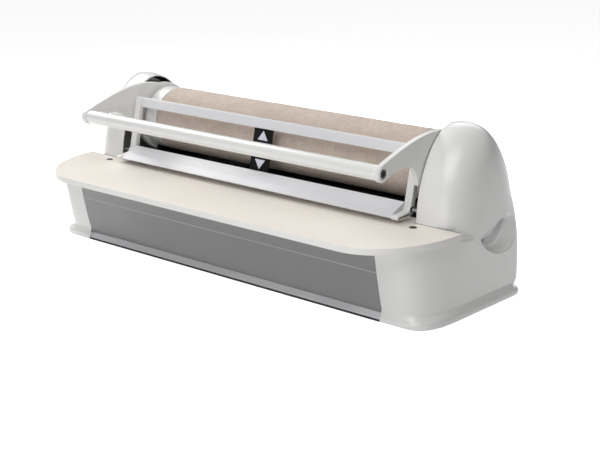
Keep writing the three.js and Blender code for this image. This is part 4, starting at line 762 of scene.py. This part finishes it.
def skirt_rows():
    """The flared foot: its lip drawn in by 16% at the floor, then out by f of 10.4 mm with
    f = 1 - (1 - r^1.15)^1.3 and r the share of 19 mm below the skirt's upper end."""
    z = np.array([SKIRT_FLOOR_Z, 2.0, 3.0, 4.5, 6.0, 7.5, 9.0, 10.5, 12.0, 14.0, 16.0, 18.0, 20.0,
                  22.0, 24.0, 26.0, 28.0, 29.5, 31.0])[:, None]
    lip = 1.0 - 0.16 * (1 - smooth(z, 0.0, 5.0))
    r = np.clip((SKIRT_TOP_Z - 2.5 - z) / 19.0, 0.0, 1.0)
    flare = lip * (1 - (1 - r ** 1.15) ** 1.3) * SKIRT_OUT
    power = FOOT_CORNER_POWER + (CORNER_POWER - FOOT_CORNER_POWER) * smooth(z, 11.0, 30.0)
    return stacked(*body_plan(z, flare, power), z)


def body_rows():
    """From the skirt to the shoulder: the body's plan, its front leaning with each column's own
    height, blended into the dome's plan where the column flows."""
    share = np.concatenate([np.linspace(0, 0.55, 8), np.linspace(0.55, 1, 46)[1:]])[:, None]
    z = SKIRT_TOP_Z + share * (SHOULDER_Z - ROLL_DOWN - SKIRT_TOP_Z)
    straight = FLANK_COLUMNS + len(TO_CORNER)
    front_share = np.zeros(z.shape[1])
    front_share[:straight] = 1.0
    front_share[straight:straight + len(CORNER_TURN)] = np.abs(np.sin(CORNER_TURN)) ** (
        2 / CORNER_POWER)
    x, y = body_plan(z[:, :1])
    y = y + (front_y(z) - front_y(z[:, :1])) * front_share
    q = FLOWS * toward_dome(z)
    return stacked(x + q * (FOOT_X - x), y + q * (FOOT_Y - y), z)


def ledge_rows(body_top):
    """From the shoulder to the dome's foot. In front the shoulder rolls inwards by a quarter
    ellipse, a flat ledge follows and a hollow fillet rises from it; where the column flows,
    straight steps in height lead from the body's top row to the dome's foot instead."""
    roll_in = np.minimum(0.5 * FOOT_GAP, ROLL_DOWN)
    # in front the fillet keeps behind the board
    behind_board = np.maximum(FOOT_Y - TABLE_BACK_Y - 0.5, 0.0)
    room = 0.9 * behind_board / np.maximum(np.abs(TOWARD_Y), 0.15) + 0.02
    fillet = np.minimum(np.minimum(0.5 * FOOT_GAP, LEDGE_RISE),
                        np.where(FOOT_Y < 100, room, LEDGE_RISE))

    def across(distance, z):
        """Points at a distance from the body's plan towards the dome's foot."""
        return stacked(BODY_X + TOWARD_X * distance, BODY_Y + TOWARD_Y * distance, z)

    a = np.radians(np.linspace(0, 90, 9))[1:, None]
    roll = across(roll_in * (1 - np.cos(a)), SHOULDER_Z - ROLL_DOWN * (1 - np.sin(a)))
    shelf = np.linspace(0, 1, 6)[1:-1, None]
    flat = across(roll_in + (FOOT_GAP - roll_in - fillet) * shelf, SHOULDER_Z)
    a = np.radians(np.linspace(0, 90, 10))[:, None]
    rising = across(FOOT_GAP - fillet * (1 - np.sin(a)),
                    SHOULDER_Z + LEDGE_RISE * (1 - np.cos(a)))
    upright = np.linspace(0, 1, 7)[1:-1, None]
    fillet_top = SHOULDER_Z + LEDGE_RISE
    straight = stacked(FOOT_X, FOOT_Y, fillet_top + (DOME_FOOT_Z + 2 - fillet_top) * upright)
    ledge = np.concatenate([roll, flat, rising, straight], 0)
    up = (np.arange(len(ledge)) + 1.0)[:, None] / (len(ledge) + 1.0)
    z = body_top + (DOME_FOOT_Z - body_top) * up
    q = toward_dome(z)
    flowing = stacked(BODY_X + q * (FOOT_X - BODY_X), BODY_Y + q * (FOOT_Y - BODY_Y), z)
    return ledge + FLOWS[..., None] * (flowing - ledge)


def dome_rows():
    """The dome at t = sin a of its height; near the crown it sags by up to 5 mm towards its
    flat inner side, and where the column flows the body's plan is blended in."""
    t = np.sin(np.radians(np.linspace(0.6, 90, 62)))[:, None]
    x, y = dome_plan(t)
    sag = 5.0 * (np.maximum(DOME_X - x, 0) / 34.0) ** 2 * t ** 6
    q = FLOWS * (1 - toward_dome(DOME_FOOT_Z + DOME_HEIGHT * t))
    return stacked(x + q * (BODY_X - x), y + q * (BODY_Y - y),
                   DOME_FOOT_Z + DOME_HEIGHT * t - sag)


def casing_skin():
    """Outer skin of the right casing, rows from the floor to the crown, with the lifting hollow
    pressed into its side."""
    body = body_rows()
    skin = np.concatenate([skirt_rows(), body, ledge_rows(body[-1, :, 2]), dome_rows()], 0)
    on_side = smooth(skin[..., 0], 575.0, 598.0)  # not on the casing's inner half
    depth = hollow_depth(skin[..., 1].ravel(), skin[..., 2].ravel())
    skin[..., 0] -= depth.reshape(skin.shape[:2]) * on_side
    return skin


def casings():
    """Both casings: the skin, its doubles merged, then a wall inwards whose inner face gets a
    near-black finish as painted shade for the shadowed inside.
    """
    skin = casing_skin()
    mesh = mended(raw_mesh(skin, quads(*skin.shape[:2])), weld=0.02, slivers=True,
                  outward=False)
    for shell in pair("casing_shell", mesh, "base", "moulded_shell", "moulded_white",
                      "moulded_inside", sharp=50, stands_for="casing"):
        wall = shell.modifiers.new("wall", "SOLIDIFY")
        wall.thickness = CASING_WALL * MM
        wall.offset = -1.0
        # the inner wall takes the near-black finish, painted shade for the shadowed inside
        wall.material_offset = 1


casings()

# ------------------------------------------------------ table, panel, rail ----

SCREW_HOLE, CUP_OUTER, CUP_HOLE = 6.8, 9.2, 5.2
# painted shade: a thin black strip behind the board's ends for the dark line where the board meets
# the casings
SHADE_STRIP_X = (502.5, 627.0)
REAR_SHADE_STRIP = [(-19.1, 204.2), (-19.1, 205.4), (-18.8, 205.7), (-18.0, 205.7), (-17.7, 205.4),
               (-17.7, 190.6), (-18.3, 190.6), (-18.3, 204.2)]
RAIL = [(-146.0, 1.5), (-124.0, 1.5), (-124.0, 20.6), (-135.2, 20.6), (-136.6, 19.6),
        (-141.3, 12.6), (-142.2, 12.6), (-142.9, 11.0), (-145.6, 7.0), (-146.0, 5.4)]


def board_outline():
    """Straight back edge with a tongue, and two front corners 248 deep: superellipses 162
    wide of power 2.2 on the right, 195 wide of power 1.84 on the left."""
    a = np.radians(np.linspace(-90, 0, 60))
    right, left = (np.stack([
        TABLE_HALF - run + run * np.cos(a) ** (2 / power),
        TABLE_BACK_Y + (TABLE_FRONT_Y - TABLE_BACK_Y) * np.abs(np.sin(a)) ** (2 / power)], 1)
        for run, power in TABLE_CORNERS)
    half, back = TABLE_TONGUE
    tongue = np.array([(half, TABLE_BACK_Y), (half, back), (-half, back), (-half, TABLE_BACK_Y)])
    return np.concatenate([right, tongue, (left * (-1, 1))[::-1]])


def table():
    """The board, with its edge band on the faces that stand upright, the black cups round its two
    screws, 0.7 mm proud, and a thin black strip behind it at both ends, painted shade for the dark
    line where the board meets the casings."""
    holes = [circle(side * TABLE_SCREW[0], TABLE_SCREW[1], SCREW_HOLE) for side in (-1, 1)]
    mesh = slab([board_outline(), *holes], TABLE_UNDER_Z, TABLE_TOP_Z, 0.9, axis="z")
    piece("feed_table_board", mesh, "base", "laminate", "laminate_top", "laminate_edge",
          sharp=40, stands_for=["feed_table"])
    second_finish(mesh, np.abs(measured(mesh.polygons, "normal")[:, 2]) < 0.8)
    rings = [circle(*TABLE_SCREW, radius) for radius in (CUP_OUTER, CUP_HOLE)]
    pair("screw_cup", slab(rings, TABLE_TOP_Z - 0.6, TABLE_TOP_Z + 0.7, 0.5, axis="z"), "base",
         "black_metal", "black_screw")
    pair("rear_shade_strip", carried(REAR_SHADE_STRIP, *SHADE_STRIP_X, 0.3), "base", "black_metal",
         "black_plastic", sharp=30)


table()


def control_dial():
    """Raised ticks round the thermostat's knob, 27 degrees apart over its 270 degrees of turn,
    the way it turns; 1.4 mm wide bars from 24 to 28 mm, the two end ones out to 31 mm."""
    for k in range(TICKS):
        end = LONG_TICK_END if k in (0, TICKS - 1) else TICK_END
        bar = [(-TICK_HALF, TICK_START), (-TICK_HALF, end), (TICK_HALF, end),
               (TICK_HALF, TICK_START)]
        tick = turned_by(bar, -270.0 * k / (TICKS - 1)) + (KNOB_Y, CONTROL_Z)
        piece(f"dial_tick_{k + 1}", slab([tick], *TICK_X, 0.2), "base", "grey_plastic",
              "dial_grey")


control_dial()


def panel_profile():
    """The leaning front sheet with a V groove, 1.3 mm deep, whose lower side faces up."""
    groove = [119.2, 121.9, 122.6]
    z = np.concatenate([np.linspace(21.0, 118.6, 22), groove, np.linspace(123.2, 189.4, 14)])
    depth = np.interp(z, [118.6, *groove, 123.2], [0.0, 0.1, 1.3, 1.3, 0.0])
    face = np.stack([front_y(z) + depth, z], 1)
    return np.concatenate([face, np.stack([front_y(z) + PANEL_SHEET, z], 1)[::-1]])


def panel_and_rail():
    """The grey panel, its groove in a lighter finish as a painted highlight for the light its
    lower side catches, and the rail under it, black along its lowest 6.9 mm.
    """
    panel = carried(panel_profile(), -PANEL_HALF, PANEL_HALF, 0.3)
    piece("front_panel_sheet", panel, "base", "grey_panel", "panel_grey", "groove_painted_highlight",
          sharp=18, stands_for=["front_panel"])
    # painted highlight: the groove's faces get the lighter finish
    second_finish(panel, faces_between(panel, 119.0, 123.0))
    rail = carried(rounded(RAIL, 0.5, 4), -PANEL_HALF, PANEL_HALF, 0.3)
    piece("front_rail_section", rail, "base", "rail_metal", "rail_silver", "foot_rubber",
          sharp=30, stands_for=["front_rail"])
    # the rail's lowest 6.9 mm get the black rubber finish
    second_finish(rail, faces_between(rail, 0.0, 6.9))


panel_and_rail()

# ----------------------------------------------------------------- roller ----

COVER_STEPS, COVER_SEGMENTS = 520, 150
COVER_END_RADIUS = 78.2
# (x, radius) of a cap: a rim 43 mm wide with round edges, a web with two turned rings
CAP = [(465.0, 12.8), (465.0, 77.0), (464.0, 78.0), (432.5, 78.0), (432.0, 78.6), (432.0, 84.2),
       (432.4, 85.1), (433.4, 85.5), (440.0, 85.5), (455.0, 85.5), (470.8, 85.5), (472.6, 85.1),
       (474.1, 84.0), (474.9, 82.4), (475.0, 80.5), (475.0, 70.0), (474.4, 69.0), (472.6, 68.4),
       (472.2, 67.4), (472.2, 30.6), (472.6, 29.6), (474.4, 29.0), (475.0, 28.0), (475.0, 13.4),
       (474.6, 12.8)]


def cover_radius(x, angle):
    """Radius of the linen: 85.5 mm with slow waves of 0.22 mm, ripples of 0.16 mm across the
    roller and creases of 0.45 mm near its right end, drawn in by up to 7.2 mm over the last
    7 mm of each end."""
    ends = np.minimum(PAD_HALF - np.abs(x), 7.0)
    drawn_in = 7.2 * (1 - np.sqrt(np.clip(1 - (1 - ends / 7.0) ** 2.2, 0, 1)))
    slow = 0.22 * np.sin(x / 61.0 + 2.0 * np.sin(angle)) * np.sin(2 * angle + x / 140.0)
    ripple = 0.16 * np.sin(x / 7.3 + 1.6 * np.sin(3 * angle + x / 90.0)) * (
        0.5 + 0.5 * np.sin(x / 47.0 + 3 * angle)) ** 2
    near_end = smooth(x, 250.0, 400.0)
    creases = 0.45 * near_end * np.sin(5 * angle + x / 26.0) * np.sin(x / 19.0 + angle)
    return PAD_RADIUS - 0.5 - drawn_in + slow + ripple + creases


def linen_cover():
    """The cover on the roller, folded in at both ends; its UV map is metres along and round the
    roller. The grid runs round the roller first and then along +X, so its faces point out."""
    near_end = PAD_HALF - np.array([0.0, 0.3, 1.2, 2.6, 4.6, 7.0])
    middle = np.linspace(-PAD_HALF + 10, PAD_HALF - 10, COVER_STEPS)
    along = np.concatenate([-near_end, middle, near_end[::-1]])
    a = np.linspace(0, 2 * math.pi, COVER_SEGMENTS + 1)
    x, angle = np.meshgrid(along[[0, *range(len(along)), -1]], a, indexing="ij")
    radius = cover_radius(x, angle)
    radius[[0, -1]] = COVER_END_RADIUS
    points = np.stack([x, ROLLER_Y + radius * np.cos(angle), ROLLER_Z + radius * np.sin(angle)], 2)
    mesh = raw_mesh(points, quads(*x.shape))
    uv = np.stack([x * MM, angle * PAD_RADIUS * MM], 2).reshape(-1, 2)
    corner = np.zeros(len(mesh.loops), np.int32)
    mesh.loops.foreach_get("vertex_index", corner)
    mesh.uv_layers.new(name="weave").data.foreach_set("uv", uv[corner].ravel())
    cover = piece("linen_cover", mended(mesh, outward=False), "roller", "linen_cover",
                  "linen_weave", sharp=80, stands_for=["roller_padding"])


linen_cover()
pair("roller_cap_turned", turned(CAP, ROLLER_Y, ROLLER_Z, 128, closed=True), "roller",
     "moulded_shell", "moulded_white", stands_for="roller_cap")

# ------------------------------------------------------------------ lever ----

# (x, radius) of the raised ring round the grip's screw, about the grip's axis
BOSS = [(486.0, 5.6), (486.0, 16.0), (497.0, 17.6), (499.4, 17.2), (500.3, 15.6), (500.2, 13.2),
        (499.2, 12.2), (494.2, 12.0), (494.0, 11.6), (494.0, 5.6)]
# (x, radius) of the grip tube's drawn-in end
GRIP_END = [(480.0, GRIP_RADIUS), (482.6, 17.3), (483.9, 16.7), (484.6, 15.5), (484.6, 0.0)]


def cam_slot():
    """Slot of the cam pin in the arm, about the roller's axis: the pin's path on the arm while
    the trough turns by 0.2 of the lever's angle, 5.6 mm wide to each side, with round ends."""
    lever = np.linspace(-21.0, 26.0, 24)
    on_trough = turned_by(CAM_PIN - TROUGH_PIVOT, TROUGH_RATIO * lever) + TROUGH_PIVOT
    path = turned_by(on_trough, lever)
    along = np.gradient(path, axis=0)
    along /= np.linalg.norm(along, axis=1, keepdims=True)
    across = np.stack([-along[:, 1], along[:, 0]], 1) * CAM_SLOT_HALF
    head, tail = (math.degrees(math.atan2(v, u)) for u, v in (across[-1], -across[0]))
    ends = [arc(*middle, CAM_SLOT_HALF, start, start - 180, 12)[1:-1]
            for middle, start in ((path[-1], head), (path[0], tail))]
    return np.concatenate([path + across, ends[0], (path - across)[::-1], ends[1]])


def arm_outline():
    """Disc about the roller's axis, a wing up to the grip's hub and a short tail lobe, as
    offsets from the roller's axis: arcs joined by Bezier curves."""
    gy, gz = GRIP_OFFSET
    upper, lower = GRIP_OFFSET + polar(ARM_HUB, 110), GRIP_OFFSET + polar(ARM_HUB, -45)
    tail_y, tail_z, tail = gy * 0.5, -8.0, 8.0
    wing = bezier(upper, (gy * 0.7, gz + 51), (gy * 0.35, ARM_DISC + 23), polar(ARM_DISC, 96),
                  count=40)
    disc = arc(0, 0, ARM_DISC, 96, -168, 130)
    into = bezier(disc[-1], (tail_y + 18, tail_z + 12), (tail_y + tail, tail_z), count=14)
    lobe = arc(tail_y, tail_z, tail, 0, -180, 16)
    under = bezier((tail_y - tail, tail_z), (tail_y - tail - 2, tail_z + 22), (tail_y - 24, gz),
                   (tail_y - 46, gz), count=22)
    reach = bezier((tail_y - 46, gz), (tail_y - 72, gz + 1), lower + (22, 9), lower, count=22)
    nose = arc(gy, gz, ARM_HUB, -45, -250, 40)
    return np.concatenate([part[:-1] for part in (wing, disc, into, lobe, under, reach, nose)])


def lever_pieces():
    """Cast arms with round edges, a ring a little proud round the screw in each hub, and the
    grip tube, its ends drawn in a little where they meet the arms."""
    axis = (ROLLER_Y, ROLLER_Z)
    outlines = [arm_outline() + axis, circle(*axis, ARM_SHAFT_HOLE), cam_slot() + axis,
                circle(GRIP_Y, GRIP_Z, GRIP_BORE, 40)]
    pair("arm_casting", slab(outlines, ARM_INNER_X, ARM_OUTER_X, 2.2, rounds=4), "lever",
         "white_casting", "cast_white", sharp=40, stands_for="lever_arm")
    pair("arm_boss", turned(BOSS, GRIP_Y, GRIP_Z, 64, closed=True), "lever", "white_casting",
         "cast_white", sharp=40)
    profile = [*[(-x, r) for x, r in GRIP_END[::-1]],
               *[(x, GRIP_RADIUS) for x in np.linspace(-470, 470, 24)], *GRIP_END]
    piece("grip_tube_turned", turned(profile, GRIP_Y, GRIP_Z, 96), "lever", "white_enamel",
          "enamel_tube", stands_for=["grip_tube"])


lever_pieces()

# ------------------------------------------------------------------ guard ----

# (y, z) profiles of the upper bar, the bent lower plate, its end flange and the end bracket
TOP_BAR = [(17.5, 350.6), (22.7, 374.6), (32.7, 374.6), (27.5, 350.6)]
PLATE = [(-57.0, 219.5), (-38.0, 231.5), (-4.0, 246.0), (1.0, 244.0), (0.0, 241.5),
         (-4.0, 243.2), (-37.0, 228.7), (-56.0, 217.0)]
PLATE_RADII = [0.9, 1.5, 0.9, 0.8, 0.6, 0.8, 1.5, 0.9]
FLANGE = [(-55.0, 218.0), (-37.0, 228.9), (-5.0, 243.0), (-5.0, 224.0), (-53.0, 215.5)]
BRACKET = [(-59.5, 221.5), (-54.0, 224.5), (-30.0, 226.5), (-11.5, 229.5), (-8.6, 237.0),
           (16.5, 350.6), (21.7, 372.6), (23.7, 375.6), (32.7, 375.6), (34.7, 372.6),
           (11.0, 242.0), (5.0, 221.0), (-5.0, 216.0), (-43.0, 214.5), (-57.0, 214.5)]
BRACKET_RADII = [4, 3, 6, 4, 3, 8, 3, 3, 4, 4, 10, 8, 8, 4, 4]
# (x, radius) of the pivot screw's head
PIVOT_HEAD = [(480.2, 0.0), (480.2, 5.4), (480.8, 6.0), (482.2, 6.0), (482.9, 5.2),
              (483.1, 3.4), (482.0, 3.2), (481.9, 0.0)]
# the dark plate between sheet and bar leans with the line from one edge to the other
(SHEET_EDGE_Y, SHEET_EDGE_Z), (BAR_EDGE_Y, BAR_EDGE_Z) = PLATE[2], TOP_BAR[0]
TIE_LEAN = (BAR_EDGE_Y - SHEET_EDGE_Y) / (BAR_EDGE_Z - SHEET_EDGE_Z)
TIE_LOW_Z, TIE_HIGH_Z, TIE_HALF, TIE_SHEET = 246.3, 350.3, 32.0, 2.0
ARROW_HALF, ARROW_TIP, ARROW_BASE = 17.2, 4.0, 28.0
ARROW_RINGS_PROUD = np.array([[0.05], [0.45]])


def guard_pieces():
    """Upper bar, bent lower plate with a flange at each end, and the cast ends: a foot with a
    round toe and a slim post in one outline, joined by a sharp knee, round edges all about;
    the head of the pivot screw stands on the outer face."""
    piece("guard_bar_section", carried(rounded(TOP_BAR, 1.6, 6), -GUARD_HALF, GUARD_HALF, 0.5),
          "guard", "white_casting", "enamel_sheet", sharp=40, stands_for=["guard_top_bar"])
    piece("guard_sheet", carried(rounded(PLATE, PLATE_RADII, 5), -GUARD_HALF, GUARD_HALF, 0.4),
          "guard", "white_enamel", "enamel_sheet", sharp=24, stands_for=["guard_plate"])
    pair("guard_flange", carried(rounded(FLANGE, 0.5, 3), *GUARD_FLANGE_X, 0.3), "guard",
         "white_enamel", "enamel_sheet", sharp=30)
    outlines = [rounded(BRACKET, BRACKET_RADII, 8), circle(*GUARD_PIVOT, 4.3, 28)]
    pair("bracket_casting", slab(outlines, *BRACKET_X, 3.4, rounds=6), "guard",
         "white_casting", "cast_white", sharp=40, stands_for="guard_bracket")
    pair("pivot_head", turned(PIVOT_HEAD, *GUARD_PIVOT, 40), "guard", "black_metal",
         "black_screw")


guard_pieces()


def tie_face(z):
    """Y of the dark plate's face at the height z, 1 mm behind the line of the two edges."""
    return SHEET_EDGE_Y + 1.0 + (z - SHEET_EDGE_Z) * TIE_LEAN


def arrow_plate():
    """Dark plate between bar and sheet, and its two triangles, each 0.45 mm proud with a
    chamfered rim."""
    low, high = TIE_LOW_Z, TIE_HIGH_Z
    face = [(tie_face(low), low), (tie_face(high), high), (tie_face(high) + TIE_SHEET, high),
            (tie_face(low) + TIE_SHEET, low)]
    piece("arrow_plate_sheet", carried(rounded(face, 0.5, 3), -TIE_HALF, TIE_HALF, 0.4),
          "guard", "black_metal", "black_sheet", stands_for=["arrow_plate"])
    for label, end, inward in (("up", high, -1.0), ("down", low, 1.0)):
        base, tip = end + inward * ARROW_BASE, end + inward * ARROW_TIP
        corners = [(-ARROW_HALF, base), (ARROW_HALF, base), (0.0, tip)]
        rim = anticlockwise(rounded(corners, 1.2, 5))
        x, z = np.moveaxis(np.stack([rim, inset(rim, 0.25)]), -1, 0)
        mesh = capped(stacked(x, tie_face(z) - ARROW_RINGS_PROUD, z))
        piece(f"{label}_arrow_mark", mended(mesh), "guard", "white_enamel", "arrow_white",
              sharp=25)


arrow_plate()

# ----------------------------------------------------------------- trough ----


def trough_shoe():
    """The shoe as one smooth curved bar about the roller, 88.5 to 98.5 mm, from 245 to 338
    degrees, with a lip in front; it rests opened by 4 degrees about the trough's pivot."""
    inner, outer = arc(0, 0, SHOE_INNER, 338, 245, 60), arc(0, 0, SHOE_OUTER, 245, 338, 60)
    lip = np.stack([inner[-1] + (-2.0, -0.4), inner[-1] + (-9.0, -1.0), outer[0] + (-7.0, 3.0),
                    outer[0] + (-2.0, 0.8)])
    profile = np.concatenate([inner, rounded(lip, [1.0, 0.8, 2.0, 2.0], 4), outer])
    profile = turned_by(profile - TROUGH_PIVOT, TROUGH_OPEN) + TROUGH_PIVOT
    piece("trough_shoe_bar", carried(profile + (ROLLER_Y, ROLLER_Z), -TROUGH_HALF, TROUGH_HALF,
                                     0.6), "trough", "dark_shoe", "burnished_shoe", sharp=30,
          stands_for=[f"trough_shoe_{k}" for k in range(1, 6)])


trough_shoe()

# -------------------------------------------- nodes kept in their own shape ----

SLOT_OF = {part["node"]: part["material_slot"] for part in frame["record"]["subparts"]}

# the width of each node's broken edges, under its finish
KEPT = {
    "zinc_plate": {
        "base_tray": 0.5, "right_side_plate": 0.4, "left_side_plate": 0.4, "front_beam": 0.8,
        "rear_beam": 0.8, "roller_tube": 0.0, "trough_cover": 0.3, "heating_element": 0.0,
        "control_box": 1.0},
    "rear_enamel": {"rear_cover": 0.5},
    "black_sheet": {"infeed_guide": 0.4},
    "bright_steel": {
        "roller_shaft": 0.8, "roller_sprocket": 0.3, "motor_sprocket": 0.3, "motor_shaft": 0.6,
        "drive_chain": 0.5, "right_lever_hub": 0.6, "left_lever_hub": 0.6,
        "right_cam_pin": 0.5, "left_cam_pin": 0.5},
    "machine_grey": {"gearbox": 3.0, "motor": 1.0, "right_bearing": 1.5, "left_bearing": 1.5},
    "burnished_shoe": {"right_trough_plate": 0.6, "left_trough_plate": 0.6},
    "black_screw": {
        "left_table_screw": 0.5, "right_table_screw": 0.5, "left_grip_screw": 0.6,
        "right_grip_screw": 0.6},
    "grey_plastic": {"thermostat": 0.8},
    "black_plastic": {
        "thermostat_knob": 0.6, "switch_housing": 0.7, "rocker": 0.6, "cable_gland": 0.6},
    "foot_rubber": {
        "front_left_foot": 0.8, "front_right_foot": 0.8, "back_left_foot": 0.8,
        "back_right_foot": 0.8},
}


def refined(name, finish_name, bevel):
    """A merged copy of a CAD node, its flat faces joined, its edges broken by a bevel."""
    mesh = frame["nodes"][name].data.copy()
    mesh.materials.clear()
    mended(mesh, weld=0.02, flat=1.0)
    obj = piece(name + "_finished", mesh, frame["nodes"][name]["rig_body"], SLOT_OF[name],
                finish_name, stands_for=[name])
    if bevel:
        edge = obj.modifiers.new("edge", "BEVEL")
        edge.width = bevel * MM
        edge.segments = 3
        edge.limit_method = "ANGLE"
        edge.angle_limit = math.radians(42)


for kept_finish, kept_nodes in KEPT.items():
    for kept_name, kept_bevel in kept_nodes.items():
        refined(kept_name, kept_finish, kept_bevel)

# ----------------------------------------------------- floor, light, world ----

FLOOR_HALF = 30000.0
FLOOR_GLOW = 0.86
SKY_LIGHT = 0.10
AIM = Vector((0.0, 0.0, 0.25))
WARM_WHITE, COOL_WHITE = (1.0, 0.995, 0.985), (0.94, 0.97, 1.0)


def seen_by(tree, *rays):
    """1 for a ray of one of those kinds, 0 for any other."""
    path = node(tree, "ShaderNodeLightPath").outputs
    seen = path[f"Is {rays[0]} Ray"]
    for ray in rays[1:]:
        seen = maths(tree, "MAXIMUM", seen, path[f"Is {ray} Ray"])
    return seen


def studio_floor():
    """Matt white that takes the shadow; for the camera and for reflections a little light of
    its own is added, so that the open floor reads as white."""
    material = bpy.data.materials.new("studio_floor")
    material.use_nodes = True
    tree = material.node_tree
    tree.nodes.clear()
    seen = seen_by(tree, "Camera", "Glossy", "Transmission")
    matt = node(tree, "ShaderNodeBsdfDiffuse", Color=(0.82, 0.82, 0.82))
    glow = node(tree, "ShaderNodeEmission", Color=(1.0, 1.0, 1.0),
                Strength=maths(tree, "MULTIPLY", seen, FLOOR_GLOW))
    both = node(tree, "ShaderNodeAddShader")
    for socket, shader in zip(both.inputs, (matt, glow)):
        tree.links.new(shader.outputs[0], socket)
    node(tree, "ShaderNodeOutputMaterial", Surface=both.outputs[0])
    corners = np.array([(-1, -1, 0), (1, -1, 0), (1, 1, 0), (-1, 1, 0)]) * FLOOR_HALF
    mesh = raw_mesh(corners, [(0, 1, 2, 3)])
    mesh.materials.append(material)
    linked("studio_floor", mesh)


def lamp(name, place, width, depth, watts, colour=(1.0, 1.0, 1.0)):
    """A rectangular soft box at `place`, turned towards the machine."""
    data = bpy.data.lights.new(name, "AREA")
    data.shape = "RECTANGLE"
    data.size, data.size_y, data.energy, data.color = width, depth, watts, colour
    aimed(linked(name, data), place, AIM - Vector(place))


def studio_sky():
    """White to the camera, and a low even light for everything else."""
    world = bpy.data.worlds.new("studio")
    bpy.context.scene.world = world
    world.use_nodes = True
    tree = world.node_tree
    tree.nodes.clear()
    strength = ranged(tree, seen_by(tree, "Camera", "Transmission"), 0.0, 1.0, SKY_LIGHT)
    sky = node(tree, "ShaderNodeBackground", Color=(1.0, 1.0, 1.0), Strength=strength)
    node(tree, "ShaderNodeOutputWorld", Surface=sky.outputs[0])


studio_floor()
lamp("key_box", (0.85, -1.9, 2.25), 1.9, 1.6, 36.0, WARM_WHITE)
lamp("front_window", (0.7, -2.6, 0.45), 1.8, 0.8, 9.5, COOL_WHITE)
lamp("left_high_box", (-1.9, 0.1, 1.9), 1.6, 1.2, 27.0, WARM_WHITE)
lamp("left_box", (-2.8, 0.0, 1.3), 1.6, 1.4, 12.0)
lamp("rear_box", (-0.1, 1.5, 1.9), 2.2, 1.2, 20.0)
lamp("ceiling_box", (0.0, -0.2, 2.6), 2.6, 2.0, 7.0)
studio_sky()

bpy.context.scene.view_settings.view_transform = "Standard"
